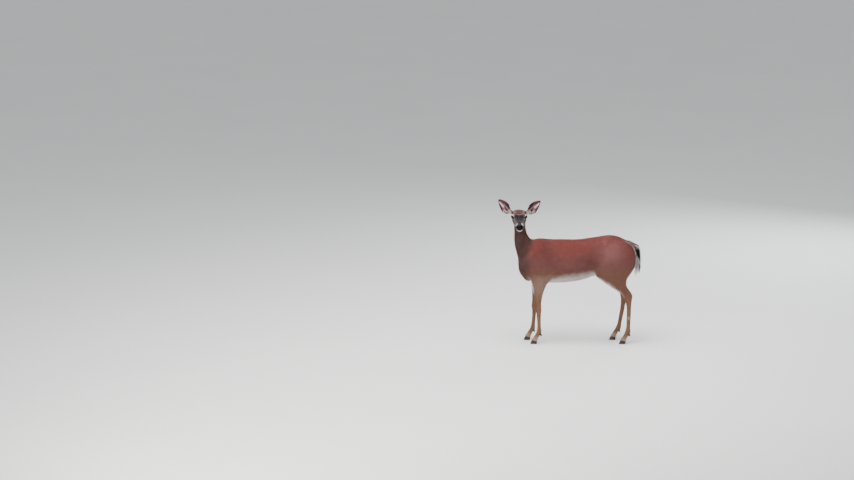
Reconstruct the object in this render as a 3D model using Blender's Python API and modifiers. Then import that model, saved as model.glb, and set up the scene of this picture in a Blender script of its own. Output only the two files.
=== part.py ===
"""A white-tailed deer doe, life size, as a still museum model.

Metres, +Z up. The doe faces -Y and its left side is +X. It stands on four feet with its head
turned to its left, so that the head faces +X. The body is lofted and joined whole, then parted
with thin cuts into the parts that a person would name.
"""

import math

import bmesh
import bpy
import numpy as np
from mathutils import Matrix, Vector

# ---------------------------------------------------------------- driving dimensions
SIZE = 0.945  # the forms below are for a doe of 0.90 m at the withers, and this one has 0.85 m
HEAD_Y = -0.477  # the head's middle plane, straight above the front of the chest
NOSE_X = 0.245  # how far the nose reaches to the doe's left
NOSE_Z = 1.041
HEAD_PITCH = math.radians(11)  # the muzzle points this far below level

EYE_BACK = 0.165  # behind the nose, along the head
EYE_OUT = 0.0515  # from the head's middle plane to the eyeball's centre
EYE_UP = 0.034
EYE_RADIUS = 0.0165
EYE_CLEARANCE = 0.0005
EYE_AIM = (0.84, -0.53, 0.10)  # out, back and up
EYE_SHOWN = 0.0090  # the eyeball shows beyond this far from its centre

EAR_BACK = 0.236
EAR_OUT = 0.0525
EAR_UP = 0.036
EAR_LENGTH = 0.168
EAR_SKIN = 0.0045
EAR_RISE = {"left": math.radians(35.5), "right": math.radians(41.5)}  # above level, seen from ahead
EAR_SWEEP = math.radians(17)  # the tips lie this far back

CLAW_LENGTH = 0.060
CLAW_WIDTH = 0.0225
CORONET = 0.036  # height of the hoof's upper edge at the toe
CORONET_FALL = 0.30  # how much that edge drops for each metre back
CLEFT = 0.003
FOOT_X = {"fore": 0.078, "hind": 0.082}  # from the doe's middle plane to the middle of a foot
TOE_Y = {"fore": -0.389, "hind": 0.359}  # the front of the claws, before the feet are stepped
DEWCLAW_Y = {"fore": -0.297, "hind": 0.449}
DEWCLAW_X = 0.0125  # from the middle of the foot
DEWCLAW_Z = 0.080

GAP = 0.0006  # between neighbouring parts
VOXEL = 0.004
BODY_TRIANGLES = 4600
DETAIL = 0.8
DETAIL_BIAS = 0.008
SHARP = math.radians(40)  # edges that turn more than this are shaded sharp


# ---------------------------------------------------------------- scene helpers
def clear_scene():
    for obj in list(bpy.data.objects):
        bpy.data.objects.remove(obj)


def collection(name):
    made = bpy.data.collections.new(name)
    bpy.context.scene.collection.children.link(made)
    return made


def material(name, colour, roughness):
    made = bpy.data.materials.new(name)
    made.use_nodes = True
    shader = made.node_tree.nodes["Principled BSDF"]
    shader.inputs["Base Color"].default_value = (*colour, 1.0)
    shader.inputs["Roughness"].default_value = roughness
    shader.inputs["Metallic"].default_value = 0.0
    return made


def mesh_object(name, bm, into):
    mesh = bpy.data.meshes.new(name)
    bmesh.ops.recalc_face_normals(bm, faces=bm.faces)
    bm.to_mesh(mesh)
    bm.free()
    obj = bpy.data.objects.new(name, mesh)
    into.objects.link(obj)
    return obj


def applied(obj):
    """Replaces obj's mesh by its evaluated mesh, with the modifiers applied."""
    bpy.context.view_layer.update()
    graph = bpy.context.evaluated_depsgraph_get()
    mesh = bpy.data.meshes.new_from_object(obj.evaluated_get(graph))
    obj.modifiers.clear()
    obj.data = mesh
    return obj


def joined(name, objects, into):
    """One object with the meshes of all the objects, which are removed."""
    bm = bmesh.new()
    for obj in objects:
        start = len(bm.verts)
        bm.from_mesh(obj.data)
        bm.verts.ensure_lookup_table()
        bmesh.ops.transform(bm, matrix=obj.matrix_world, verts=bm.verts[start:])
        bpy.data.objects.remove(obj)
    return mesh_object(name, bm, into)


# ---------------------------------------------------------------- lofting
def resampled(rows, per_gap):
    """The rows with per_gap steps between each two, on a smooth curve through them all."""
    rows = np.array(rows, float)
    padded = np.vstack([2 * rows[0] - rows[1], rows, 2 * rows[-1] - rows[-2]])
    made = []
    for i in range(len(rows) - 1):
        before, start, end, after = padded[i : i + 4]
        for t in np.linspace(0, 1, per_gap, endpoint=False):
            slope = (end - before) / 2 * (t - 2 * t * t + t**3)
            slope += (after - start) / 2 * (t**3 - t * t)
            made.append(start * (1 - 3 * t * t + 2 * t**3) + end * (3 * t * t - 2 * t**3) + slope)
    return np.array([*made, rows[-1]]).tolist()


def oval(centre, side, up, half_side, half_up, half_down, power, count):
    """A ring of points: an oval that may be flatter below than above."""
    points = []
    for i in range(count):
        angle = 2 * math.pi * i / count
        c, s = math.cos(angle), math.sin(angle)
        across = half_side * math.copysign(abs(c) ** (2 / power), c)
        high = (half_up if s > 0 else half_down) * math.copysign(abs(s) ** (2 / power), s)
        points.append(Vector(centre) + across * Vector(side) + high * Vector(up))
    return points


def loft(name, rings, into):
    """A closed body through the rings, which have the same number of points."""
    bm = bmesh.new()
    rows = [[bm.verts.new(p) for p in ring] for ring in rings]
    count = len(rows[0])
    for low, high in zip(rows, rows[1:]):
        for i in range(count):
            j = (i + 1) % count
            bm.faces.new((low[i], low[j], high[j], high[i]))
    bm.faces.new(rows[0])
    bm.faces.new(rows[-1])
    return mesh_object(name, bm, into)


def lengthwise(name, rows, into, power=2.0, frame=None):
    """Rings across the body. A row is y, top, bottom, half width, and the share of the height
    below the widest level. frame maps (side, along, up) to the world."""
    frame = frame or Matrix.Identity(4)
    rings = []
    for y, top, bottom, half, wide in resampled(rows, 5):
        level = bottom + wide * (top - bottom)
        ring = oval((0, y, level), (1, 0, 0), (0, 0, 1), half, top - level, level - bottom, power, 28)
        rings.append([frame @ p for p in ring])
    return loft(name, rings, into)


def upright(name, rows, into, side=1, step=0.0, power=2.1, count=22):
    """Level rings up a limb. A row is z, front, back, x and half width, and step moves the foot
    forwards."""
    rings = []
    for z, front, back, x, half in resampled(rows, 4):
        centre = (side * x, (front + back) / 2 - foot_step(z, step), z)
        deep = (back - front) / 2
        rings.append(oval(centre, (1, 0, 0), (0, 1, 0), half, deep, deep, power, count))
    return loft(name, rings, into)


def ball(name, centre, radii, into, segments=24, rings=14, turn=(0, 0, 0)):
    """An ellipsoid, turned by the angles in degrees."""
    bm = bmesh.new()
    bmesh.ops.create_uvsphere(bm, u_segments=segments, v_segments=rings, radius=1.0)
    turned = Matrix.Identity(4)
    for angle, axis in zip(turn, "XYZ"):
        turned = Matrix.Rotation(math.radians(angle), 4, axis) @ turned
    place = Matrix.Translation(centre) @ turned @ Matrix.Diagonal((*radii, 1.0))
    bmesh.ops.transform(bm, matrix=place, verts=bm.verts)
    return mesh_object(name, bm, into)


# ---------------------------------------------------------------- the head's own frame
def head_frame():
    """Maps (left, back, up), measured from the nose tip, to the world."""
    level = Matrix(((0, -1, 0, 0), (1, 0, 0, 0), (0, 0, 1, 0), (0, 0, 0, 1)))
    pitch = Matrix.Rotation(HEAD_PITCH, 4, "Y")
    return Matrix.Translation((NOSE_X, HEAD_Y, NOSE_Z)) @ pitch @ level


def eye_centre(side):
    return head_frame() @ Vector((side * EYE_OUT, EYE_BACK, EYE_UP))


# ---------------------------------------------------------------- the body's forms
TRUNK = (
    # y, top, bottom, half width, level of the widest
    (-0.480, 0.715, 0.655, 0.030, 0.50),
    (-0.468, 0.765, 0.608, 0.058, 0.50),
    (-0.435, 0.830, 0.565, 0.086, 0.48),
    (-0.385, 0.878, 0.536, 0.104, 0.46),
    (-0.320, 0.900, 0.520, 0.116, 0.45),
    (-0.240, 0.900, 0.516, 0.126, 0.44),
    (-0.140, 0.895, 0.518, 0.137, 0.43),
    (-0.030, 0.894, 0.528, 0.146, 0.43),
    (0.070, 0.899, 0.547, 0.148, 0.44),
    (0.160, 0.912, 0.576, 0.140, 0.46),
    (0.240, 0.926, 0.602, 0.131, 0.50),
    (0.305, 0.933, 0.620, 0.125, 0.52),
    (0.365, 0.921, 0.640, 0.115, 0.52),
    (0.415, 0.899, 0.660, 0.098, 0.52),
    (0.460, 0.871, 0.680, 0.076, 0.52),
    (0.500, 0.838, 0.710, 0.048, 0.52),
    (0.518, 0.800, 0.745, 0.022, 0.50),
)

NECK = (
    # z, front, back, x, half width
    (0.570, -0.418, -0.240, 0.000, 0.040),
    (0.610, -0.448, -0.240, 0.000, 0.064),
    (0.650, -0.466, -0.245, 0.000, 0.078),
    (0.700, -0.478, -0.255, 0.000, 0.086),
    (0.750, -0.491, -0.275, 0.000, 0.088),
    (0.800, -0.504, -0.300, 0.000, 0.086),
    (0.850, -0.515, -0.335, 0.001, 0.080),
    (0.890, -0.519, -0.368, 0.002, 0.072),
    (0.930, -0.519, -0.398, 0.003, 0.065),
    (0.970, -0.518, -0.415, 0.004, 0.059),
    (1.010, -0.519, -0.418, 0.004, 0.055),
    (1.050, -0.519, -0.420, 0.003, 0.055),
    (1.085, -0.515, -0.425, 0.001, 0.050),
    (1.108, -0.502, -0.438, 0.000, 0.036),
)

HEAD = (
    # back from the nose, top, bottom, half width, level of the widest
    (0.000, 0.012, -0.010, 0.014, 0.50),
    (0.005, 0.0225, -0.027, 0.0265, 0.50),
    (0.016, 0.0290, -0.043, 0.0330, 0.50),
    (0.034, 0.0315, -0.052, 0.0350, 0.50),
    (0.060, 0.0330, -0.049, 0.0335, 0.50),
    (0.090, 0.0380, -0.0480, 0.0360, 0.50),
    (0.118, 0.0460, -0.051, 0.0430, 0.53),
    (0.143, 0.0575, -0.055, 0.0510, 0.56),
    (0.168, 0.0690, -0.061, 0.0570, 0.58),
    (0.198, 0.0780, -0.064, 0.0575, 0.59),
    (0.228, 0.0775, -0.057, 0.0540, 0.58),
    (0.256, 0.0640, -0.039, 0.0460, 0.55),
    (0.280, 0.0330, -0.015, 0.0260, 0.52),
)

FORELIMB = (
    # z, front, back, x, half width
    (0.872, -0.335, -0.262, 0.034, 0.038),
    (0.820, -0.378, -0.236, 0.054, 0.052),
    (0.760, -0.418, -0.212, 0.067, 0.058),
    (0.700, -0.448, -0.198, 0.073, 0.058),
    (0.645, -0.446, -0.196, 0.077, 0.054),
    (0.595, -0.416, -0.204, 0.080, 0.049),
    (0.552, -0.383, -0.216, 0.082, 0.044),
    (0.510, -0.365, -0.238, 0.084, 0.039),
    (0.460, -0.354, -0.262, 0.083, 0.034),
    (0.410, -0.347, -0.278, 0.082, 0.0295),
    (0.355, -0.341, -0.289, 0.081, 0.0245),
    (0.318, -0.341, -0.288, 0.080, 0.0255),
    (0.290, -0.340, -0.288, 0.080, 0.0250),
    (0.262, -0.333, -0.292, 0.080, 0.0200),
    (0.200, -0.329, -0.294, 0.079, 0.0165),
    (0.140, -0.329, -0.294, 0.078, 0.0165),
    (0.102, -0.337, -0.291, 0.078, 0.0205),
    (0.080, -0.347, -0.302, 0.078, 0.0205),
    (0.055, -0.363, -0.318, 0.078, 0.0215),
    (0.032, -0.378, -0.325, 0.078, 0.0245),
    (0.006, -0.385, -0.325, 0.078, 0.0245),
)

HINDLIMB = (
    # z, front, back, x, half width
    (0.888, 0.285, 0.415, 0.042, 0.042),
    (0.850, 0.250, 0.478, 0.056, 0.062),
    (0.800, 0.215, 0.511, 0.066, 0.073),
    (0.745, 0.185, 0.524, 0.072, 0.076),
    (0.692, 0.165, 0.521, 0.076, 0.073),
    (0.642, 0.160, 0.504, 0.080, 0.067),
    (0.600, 0.172, 0.476, 0.084, 0.060),
    (0.562, 0.202, 0.450, 0.087, 0.051),
    (0.522, 0.256, 0.440, 0.088, 0.042),
    (0.484, 0.314, 0.454, 0.089, 0.034),
    (0.456, 0.358, 0.474, 0.089, 0.0285),
    (0.432, 0.388, 0.486, 0.088, 0.0260),
    (0.408, 0.408, 0.486, 0.087, 0.0250),
    (0.382, 0.420, 0.481, 0.086, 0.0250),
    (0.350, 0.427, 0.476, 0.085, 0.0225),
    (0.315, 0.431, 0.473, 0.084, 0.0190),
    (0.250, 0.430, 0.469, 0.083, 0.0172),
    (0.180, 0.426, 0.463, 0.082, 0.0165),
    (0.140, 0.423, 0.460, 0.082, 0.0170),
    (0.104, 0.412, 0.459, 0.082, 0.0210),
    (0.080, 0.402, 0.446, 0.082, 0.0205),
    (0.055, 0.386, 0.432, 0.082, 0.0215),
    (0.032, 0.370, 0.424, 0.082, 0.0245),
    (0.006, 0.363, 0.424, 0.082, 0.0245),
)

# How far each foot stands ahead of the tables above.
STEPS = {"foreleg_left": -0.012, "foreleg_right": 0.040, "hindleg_left": -0.020, "hindleg_right": 0.055}
STEP_FROM = 0.60

TAIL = (
    # y and z down the tail's middle, half width, half thickness
    (0.430, 0.858, 0.014, 0.012),
    (0.478, 0.851, 0.024, 0.019),
    (0.510, 0.815, 0.033, 0.022),
    (0.529, 0.765, 0.040, 0.0235),
    (0.538, 0.710, 0.041, 0.023),
    (0.541, 0.655, 0.034, 0.020),
    (0.540, 0.615, 0.022, 0.014),
    (0.538, 0.592, 0.009, 0.006),
)


def foot_step(z, step):
    """How far a limb is moved forwards at a height, for a foot that stands step ahead."""
    return step * min(1.0, max(0.0, (STEP_FROM - z) / (STEP_FROM - DEWCLAW_Z))) ** 1.1


def muscle_forms(side, into):
    """Ellipsoids that fill the shoulder, breast, haunch and buttock of one side."""
    spots = (
        # centre, radii, turns
        ("triceps", (0.074, -0.285, 0.665), (0.054, 0.075, 0.115), (-28, 0, 0)),
        ("blade", (0.052, -0.335, 0.775), (0.052, 0.055, 0.120), (22, 0, 0)),
        ("point", (0.058, -0.392, 0.675), (0.050, 0.060, 0.085), (0, 0, 0)),
        ("breast", (0.020, -0.405, 0.655), (0.050, 0.056, 0.120), (0, 0, 0)),
        ("withers", (0.020, -0.290, 0.845), (0.060, 0.110, 0.055), (4, 0, 0)),
        ("elbow", (0.088, -0.250, 0.560), (0.030, 0.040, 0.040), (0, 0, 0)),
        ("haunch", (0.070, 0.370, 0.775), (0.073, 0.125, 0.120), (0, 0, 0)),
        ("hip", (0.062, 0.285, 0.858), (0.052, 0.070, 0.048), (0, 0, 0)),
        ("buttock", (0.046, 0.452, 0.735), (0.048, 0.070, 0.105), (0, 0, 0)),
        ("stifle", (0.094, 0.212, 0.612), (0.042, 0.042, 0.048), (0, 0, 0)),
        ("gaskin", (0.090, 0.335, 0.555), (0.034, 0.105, 0.055), (-38, 0, 0)),
    )
    made = []
    for name, (x, y, z), radii, turn in spots:
        made.append(ball(f"form_{name}", (side * x, y, z), radii, into, turn=(turn[0], side * turn[1], 0)))
    return made


def head_forms(side, into):
    """The brow, crown, cheek, lips and ear root of one side of the head."""
    spots = (
        # left, back, up, then the radii
        ("brow", (0.0435, 0.170, 0.042), (0.0250, 0.027, 0.0180)),
        ("orbit", (0.0455, 0.168, 0.032), (0.0200, 0.028, 0.0240)),
        ("cheek", (0.0310, 0.196, -0.022), (0.0240, 0.046, 0.0400)),
        ("crown", (0.0290, 0.208, 0.0490), (0.0300, 0.042, 0.0280)),
        ("zygoma", (0.0435, 0.190, 0.006), (0.0215, 0.052, 0.0165)),
        ("malar", (0.0415, 0.155, 0.008), (0.0215, 0.046, 0.0270)),
        ("nostril", (0.0190, 0.016, 0.003), (0.0155, 0.016, 0.0175)),
        ("lip", (0.0190, 0.030, -0.017), (0.0175, 0.026, 0.0205)),
        ("chin", (0.0090, 0.030, -0.039), (0.0155, 0.022, 0.0130)),
        ("ear_root", (0.0430, 0.236, 0.030), (0.0240, 0.027, 0.0270)),
    )
    made = []
    for name, (out, back, up), radii in spots:
        form = ball(f"form_{name}", (side * out, back, up), radii, into)
        form.data.transform(head_frame())
        made.append(form)
    return made


def body_forms(into):
    """The lofts and muscles that the body is joined from."""
    forms = [
        lengthwise("form_trunk", TRUNK, into, power=2.1),
        upright("form_neck", NECK, into, count=28),
        lengthwise("form_head", HEAD, into, power=2.3, frame=head_frame()),
    ]
    for side, word in ((1, "left"), (-1, "right")):
        forms.append(upright("form_fore", FORELIMB, into, side, STEPS[f"foreleg_{word}"]))
        forms.append(upright("form_hind", HINDLIMB, into, side, STEPS[f"hindleg_{word}"]))
        forms += muscle_forms(side, into)
        forms += head_forms(side, into)
    return forms


# ---------------------------------------------------------------- joining and modelling the body
def vertices(obj):
    flat = np.empty(len(obj.data.vertices) * 3)
    obj.data.vertices.foreach_get("co", flat)
    return flat.reshape(-1, 3)


def weigh(obj, name, weights):
    """A vertex group with one weight for each vertex, in steps of a twentieth."""
    group = obj.vertex_groups.new(name=name)
    levels = np.round(np.clip(weights, 0, 1) * 20).astype(int)
    for level in range(1, 21):
        members = np.flatnonzero(levels == level).tolist()
        if members:
            group.add(members, level / 20, "REPLACE")
    return group


def ramp(value, start, end):
    """0 at start and 1 at end, with an even slope."""
    return np.clip((value - start) / (end - start), 0, 1)


def softness(points):
    """How much the joins are softened: most on the trunk, least on the head and lower legs."""
    z = points[:, 2]
    legs = ramp(z, 0.40, 0.56)
    head = ramp(z, 1.05, 0.93)
    return 0.12 + 0.88 * legs * head


def bulges():
    """Local swellings and hollows: centre, radius, direction and height, for the left side."""
    return (
        ((0.140, 0.150, 0.770), 0.095, (-1, 0, 0), 0.007),  # flank hollow
        ((0.140, -0.190, 0.640), 0.070, (-1, 0, 0), 0.006),  # behind the elbow
        ((0.060, 0.440, 0.480), 0.045, (-1, 0, 0), 0.006),  # before the hamstring
        ((0.080, -0.390, 0.800), 0.055, (-0.8, -0.3, 0), 0.006),  # neck to shoulder
    )


def swell(obj):
    points = vertices(obj)
    for centre, radius, direction, height in bulges():
        for side in (1, -1):
            at = np.array((side * centre[0], centre[1], centre[2]))
            away = np.linalg.norm(points - at, axis=1) / radius
            push = np.array((side * direction[0], direction[1], direction[2]))
            points += np.exp(-(away**2))[:, None] * height * push
    obj.data.vertices.foreach_set("co", points.ravel())
    obj.data.update()


def modelled_body(into):
    """The whole body as one solid with few triangles, close on the head and wide on the trunk."""
    body = joined("body", body_forms(into), into)
    union = body.modifiers.new("union", "REMESH")
    union.mode = "VOXEL"
    union.voxel_size = VOXEL
    applied(body)
    weigh(body, "soft", softness(vertices(body)))
    soften = body.modifiers.new("soften", "SMOOTH")
    soften.factor = 0.5
    soften.iterations = 160
    soften.vertex_group = "soft"
    applied(body)
    swell(body)
    again = body.modifiers.new("again", "REMESH")
    again.mode = "VOXEL"
    again.voxel_size = VOXEL
    applied(body)
    return body


def few_triangles(body, count):
    """Thins the mesh to a number of triangles, which keep closest where the form is finest."""
    body.vertex_groups.clear()
    z = vertices(body)[:, 2]
    weigh(body, "coarse", 1 - DETAIL * np.maximum(ramp(z, 0.98, 1.03), 0.6 * ramp(z, 0.50, 0.30)))
    thin = body.modifiers.new("fewer", "DECIMATE")
    thin.ratio = count / (2 * len(body.data.polygons))
    thin.vertex_group = "coarse"
    thin.vertex_group_factor = DETAIL_BIAS
    applied(body)
    body.vertex_groups.clear()


# ---------------------------------------------------------------- cutting
def combined(obj, tool, operation):
    """obj after an exact Boolean operation with a tool object."""
    cut = obj.modifiers.new("cut", "BOOLEAN")
    cut.operation = operation
    cut.solver = "EXACT"
    cut.object = tool
    return applied(obj)


def trimmed(obj, against, cutters):
    """Takes from obj all that lies inside, or within a small gap of, the bodies against."""
    for body in against:
        grown = bpy.data.objects.new("grown", body.data.copy())
        cutters.objects.link(grown)
        push = grown.modifiers.new("grow", "DISPLACE")
        push.strength = GAP
        push.mid_level = 0.0
        applied(grown)
        combined(obj, grown, "DIFFERENCE")
        bpy.data.objects.remove(grown)
    return obj


def split_off(name, body, block, into):
    """Takes what lies inside the block out of the body, and leaves a thin gap between them."""
    piece = bpy.data.objects.new(name, body.data.copy())
    into.objects.link(piece)
    combined(piece, block, "INTERSECT")
    grow = block.modifiers.new("gap", "DISPLACE")
    grow.strength = GAP
    grow.mid_level = 0.0
    applied(block)
    combined(body, block, "DIFFERENCE")
    return largest_only(piece)


def limb_block(name, outline, side, lean, into):
    """A block over one limb: its outline seen from its side, carried inwards to a leaning wall.
    lean is that wall's x at height 0.5 and its change with height."""
    outer = [Vector((side * 0.30, y, z)) for y, z in outline]
    inner = [Vector((side * (lean[0] + lean[1] * (z - 0.5)), y, z)) for y, z in outline]
    return loft(name, [outer, inner], into)


HEAD_CUT = (
    # x, z
    (-0.20, 1.211), (-0.090, 1.122), (0.080, 0.985), (0.30, 0.950), (0.30, 1.30), (-0.20, 1.30),
)
NECK_CUT = (
    # y, z
    (-0.330, 0.940), (-0.570, 0.630), (-0.70, 0.70), (-0.70, 1.20), (-0.30, 1.20),
)
FORE_OUTLINE = (
    (-0.300, 0.800), (-0.355, 0.760), (-0.400, 0.700), (-0.425, 0.640), (-0.425, 0.580), (-0.500, 0.460),
    (-0.500, 0.020), (-0.200, 0.020), (-0.215, 0.480), (-0.205, 0.560), (-0.215, 0.650), (-0.250, 0.745),
)
HIND_OUTLINE = (
    (0.345, 0.895), (0.270, 0.850), (0.205, 0.770), (0.165, 0.690), (0.145, 0.620), (0.160, 0.560),
    (0.240, 0.420), (0.250, 0.020), (0.560, 0.020), (0.570, 0.700), (0.550, 0.790), (0.500, 0.850),
    (0.430, 0.892),
)
FORE_LEAN = (0.030, 0.16)
HIND_LEAN = (0.010, 0.11)


def coronet_height(y, toe_y):
    """Height of the plane between leg and hoof, for a hoof whose toe is at toe_y."""
    return CORONET - CORONET_FALL * (y - toe_y - 0.012)


def foot_places():
    """For each leg: its name, the middle of its foot, the front of its claws and its side."""
    places = []
    for word, side in (("left", 1), ("right", -1)):
        for end in ("fore", "hind"):
            leg = f"{end}leg_{word}"
            places.append((leg, side * FOOT_X[end], TOE_Y[end] - STEPS[leg], side))
    return places


def under_coronet(name, x, toe_y, into):
    """A block that fills all below the coronet of one foot."""
    front, back = toe_y - 0.06, toe_y + 0.13
    under = -0.02
    slope = (coronet_height(back, toe_y), coronet_height(front, toe_y))
    outline = ((front, under), (back, under), (back, slope[0]), (front, slope[1]))
    rings = []
    for across in (x - 0.055, x + 0.055):
        rings.append([Vector((across, y, z)) for y, z in outline])
    return loft(name, rings, into)


# ---------------------------------------------------------------- hooves
CLAW_OUTLINE = (
    # along from the toe and out from the cleft, as shares of the length and width
    (0.00, 0.20), (0.06, 0.50), (0.25, 0.84), (0.55, 1.00), (0.82, 0.92), (0.97, 0.60), (1.00, 0.28),
    (0.94, 0.03), (0.50, 0.00), (0.04, 0.03),
)
CLAW_RINGS = (
    # share of the height, how far the toe and the heel move in, and the width's share
    (0.00, 0.0000, 0.0030, 0.98),
    (0.40, 0.0070, 0.0010, 1.01),
    (1.00, 0.0170, 0.0050, 0.94),
)


def claw(name, x, toe_y, side, into):
    """Half of a cloven hoof, flat below and cut off along the coronet above."""
    rings = []
    for share, toe_in, heel_in, wide in CLAW_RINGS:
        length = CLAW_LENGTH - toe_in - heel_in
        ring = []
        for along, out in CLAW_OUTLINE:
            y = toe_y + toe_in + along * length
            across = x + side * (CLEFT / 2 + out * wide * CLAW_WIDTH)
            top = coronet_height(y, toe_y) - GAP
            ring.append(Vector((across, y, share * top)))
        rings.append(ring)
    return loft(name, rings, into)


def dewclaw(name, x, y, z, side, into):
    """A small blunt claw behind the fetlock, pointing down and back."""
    rings = []
    lean = Vector((side * 0.10, 0.45, -0.89)).normalized()
    out = Vector((1, 0, 0))
    front = lean.cross(out).normalized()
    for along, half in ((-0.012, 0.0045), (-0.003, 0.0074), (0.006, 0.0068), (0.013, 0.0030)):
        middle = Vector((x, y, z)) + lean * along
        rings.append(oval(middle, out, front, half, half * 1.1, half * 1.1, 2.0, 6))
    return loft(name, rings, into)


# ---------------------------------------------------------------- ears, eyes, nose, tail
EAR_SHAPE = (
    # share of the length, half the width along the skin, half the angle that it wraps
    (0.00, 0.0330, 2.30),
    (0.08, 0.0335, 2.05),
    (0.17, 0.0385, 1.62),
    (0.27, 0.0455, 1.22),
    (0.38, 0.0505, 0.98),
    (0.50, 0.0515, 0.86),
    (0.62, 0.0490, 0.78),
    (0.74, 0.0420, 0.72),
    (0.85, 0.0310, 0.66),
    (0.94, 0.0180, 0.58),
    (1.00, 0.0045, 0.50),
)


def ear(name, side, word, into):
    """A cupped leaf on a tube, with its hollow side forwards and a little outwards."""
    rise = EAR_RISE[word]
    axis = Vector((side * math.cos(rise), math.tan(EAR_SWEEP), math.sin(rise))).normalized()
    face = Vector((side * 0.20, -1.0, 0.20))
    face = (face - face.dot(axis) * axis).normalized()
    across = axis.cross(face) * side  # towards the ear's lower, outer edge
    root = Vector((side * EAR_OUT, EAR_BACK, EAR_UP))
    count = 8
    rows = []
    for share, half, wrap in EAR_SHAPE:
        radius = half / wrap
        bow = 0.010 * math.sin(math.pi * share)  # the leaf bows back, and its tip comes forward
        spine = root + axis * (share * EAR_LENGTH) - face * bow
        spine -= face * radius * 0.35
        lower_fullness = 1.08 + 0.42 * math.exp(-(((share - 0.29) / 0.24) ** 2))
        row = []
        for i in range(count + 1):
            angle = wrap * (2 * i / count - 1)
            fuller = lower_fullness if angle > 0 else 0.72
            sideways = across * radius * fuller * math.sin(angle)
            row.append(spine + sideways + face * radius * (1 - math.cos(angle)))
        rows.append([head_frame() @ p for p in row])
    bm = bmesh.new()
    grid = [[bm.verts.new(p) for p in row] for row in rows]
    for low, high in zip(grid, grid[1:]):
        for i in range(count):
            bm.faces.new((low[i], low[i + 1], high[i + 1], high[i]))
    made = mesh_object(name, bm, into)
    thick = made.modifiers.new("skin", "SOLIDIFY")
    thick.thickness = EAR_SKIN
    thick.offset = 0.0
    applied(made)
    return made


def eyeball(name, side, extra, into):
    bm = bmesh.new()
    bmesh.ops.create_uvsphere(bm, u_segments=16, v_segments=9, radius=EYE_RADIUS + extra)
    place = Matrix.Translation(eye_centre(side))
    bmesh.ops.transform(bm, matrix=place, verts=bm.verts)
    return mesh_object(name, bm, into)


def eye_window(name, side, into):
    """A block that opens the skin over the part of the eyeball that shows."""
    aim = Vector((side * EYE_AIM[0], EYE_AIM[1], EYE_AIM[2])).normalized()
    aim = (head_frame().to_3x3() @ aim).normalized()
    across = Vector((0, 0, 1)).cross(aim).normalized()
    up = aim.cross(across)
    rings = []
    for along, half in ((EYE_SHOWN, 0.0140), (0.0300, 0.0250)):
        middle = eye_centre(side) + along * aim
        rings.append(oval(middle, across, up, half * 1.04, half * 0.94, half * 0.86, 1.9, 14))
    return loft(name, rings, into)


def nose_block(name, extra, into):
    made = ball(name, (0, 0.003, 0.0020), (0.0300 + extra, 0.0140 + extra, 0.0240 + extra), into, 14, 8)
    made.data.transform(head_frame())
    return made


def tail_loft(into):
    rows = TAIL
    rings = []
    for i, (y, z, half, deep) in enumerate(rows):
        before, after = rows[max(i - 1, 0)], rows[min(i + 1, len(rows) - 1)]
        along = Vector((0, after[0] - before[0], after[1] - before[1])).normalized()
        back = along.cross(Vector((1, 0, 0))).normalized()
        rings.append(oval((0, y, z), (1, 0, 0), back, half, deep, deep, 2.0, 12))
    return loft("tail", rings, into)


# ---------------------------------------------------------------- parting the body
def islands(obj):
    """The separate closed bodies of a mesh, as lists of the numbers of their points."""
    bm = bmesh.new()
    bm.from_mesh(obj.data)
    bm.verts.ensure_lookup_table()
    seen = set()
    found = []
    for vert in bm.verts:
        if vert.index in seen:
            continue
        stack, group = [vert], {vert}
        while stack:
            for edge in stack.pop().link_edges:
                for near in edge.verts:
                    if near not in group:
                        group.add(near)
                        stack.append(near)
        seen.update(v.index for v in group)
        found.append(sorted(v.index for v in group))
    bm.free()
    return found


def largest_only(obj):
    """Drops all but the largest of an object's separate bodies."""
    keep = set(max(islands(obj), key=len))
    bm = bmesh.new()
    bm.from_mesh(obj.data)
    bm.verts.ensure_lookup_table()
    bmesh.ops.delete(bm, geom=[v for v in bm.verts if v.index not in keep], context="VERTS")
    bm.to_mesh(obj.data)
    bm.free()
    return obj


def parted(body, parts, cutters):
    """Splits the body into the parts that a person would name."""
    flesh = []
    low = [Vector((x, -0.70, z)) for x, z in HEAD_CUT]
    high = [Vector((x, -0.20, z)) for x, z in HEAD_CUT]
    flesh.append(split_off("head", body, loft("cut_head", [low, high], cutters), parts))
    low = [Vector((-0.20, y, z)) for y, z in NECK_CUT]
    high = [Vector((0.20, y, z)) for y, z in NECK_CUT]
    flesh.append(split_off("neck", body, loft("cut_neck", [low, high], cutters), parts))
    for side, word in ((1, "left"), (-1, "right")):
        block = limb_block(f"cut_foreleg_{word}", FORE_OUTLINE, side, FORE_LEAN, cutters)
        flesh.append(split_off(f"foreleg_{word}", body, block, parts))
        block = limb_block(f"cut_hindleg_{word}", HIND_OUTLINE, side, HIND_LEAN, cutters)
        flesh.append(split_off(f"hindleg_{word}", body, block, parts))
    body.name = "trunk"
    flesh.append(largest_only(body))
    return flesh


def painted(obj, paint):
    """Gives the object its material, and smooth shading across all but its sharp edges."""
    obj.data.materials.clear()
    obj.data.materials.append(paint)
    obj.data.shade_smooth()
    obj.data.set_sharp_from_angle(angle=SHARP)


def placed(objects):
    """Brings everything to size, with the box around it standing on the floor and its middle on
    the origin, and each object's origin in the middle of its own box."""
    everything = np.vstack([vertices(obj) for obj in objects])
    low, high = everything.min(axis=0), everything.max(axis=0)
    middle = Vector(((low[0] + high[0]) / 2, (low[1] + high[1]) / 2, low[2]))
    for obj in objects:
        spot = vertices(obj)
        own = Vector((spot.min(axis=0) + spot.max(axis=0)) / 2)
        obj.data.transform(Matrix.Scale(SIZE, 4) @ Matrix.Translation(-own))
        obj.location = SIZE * (own - middle)


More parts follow.
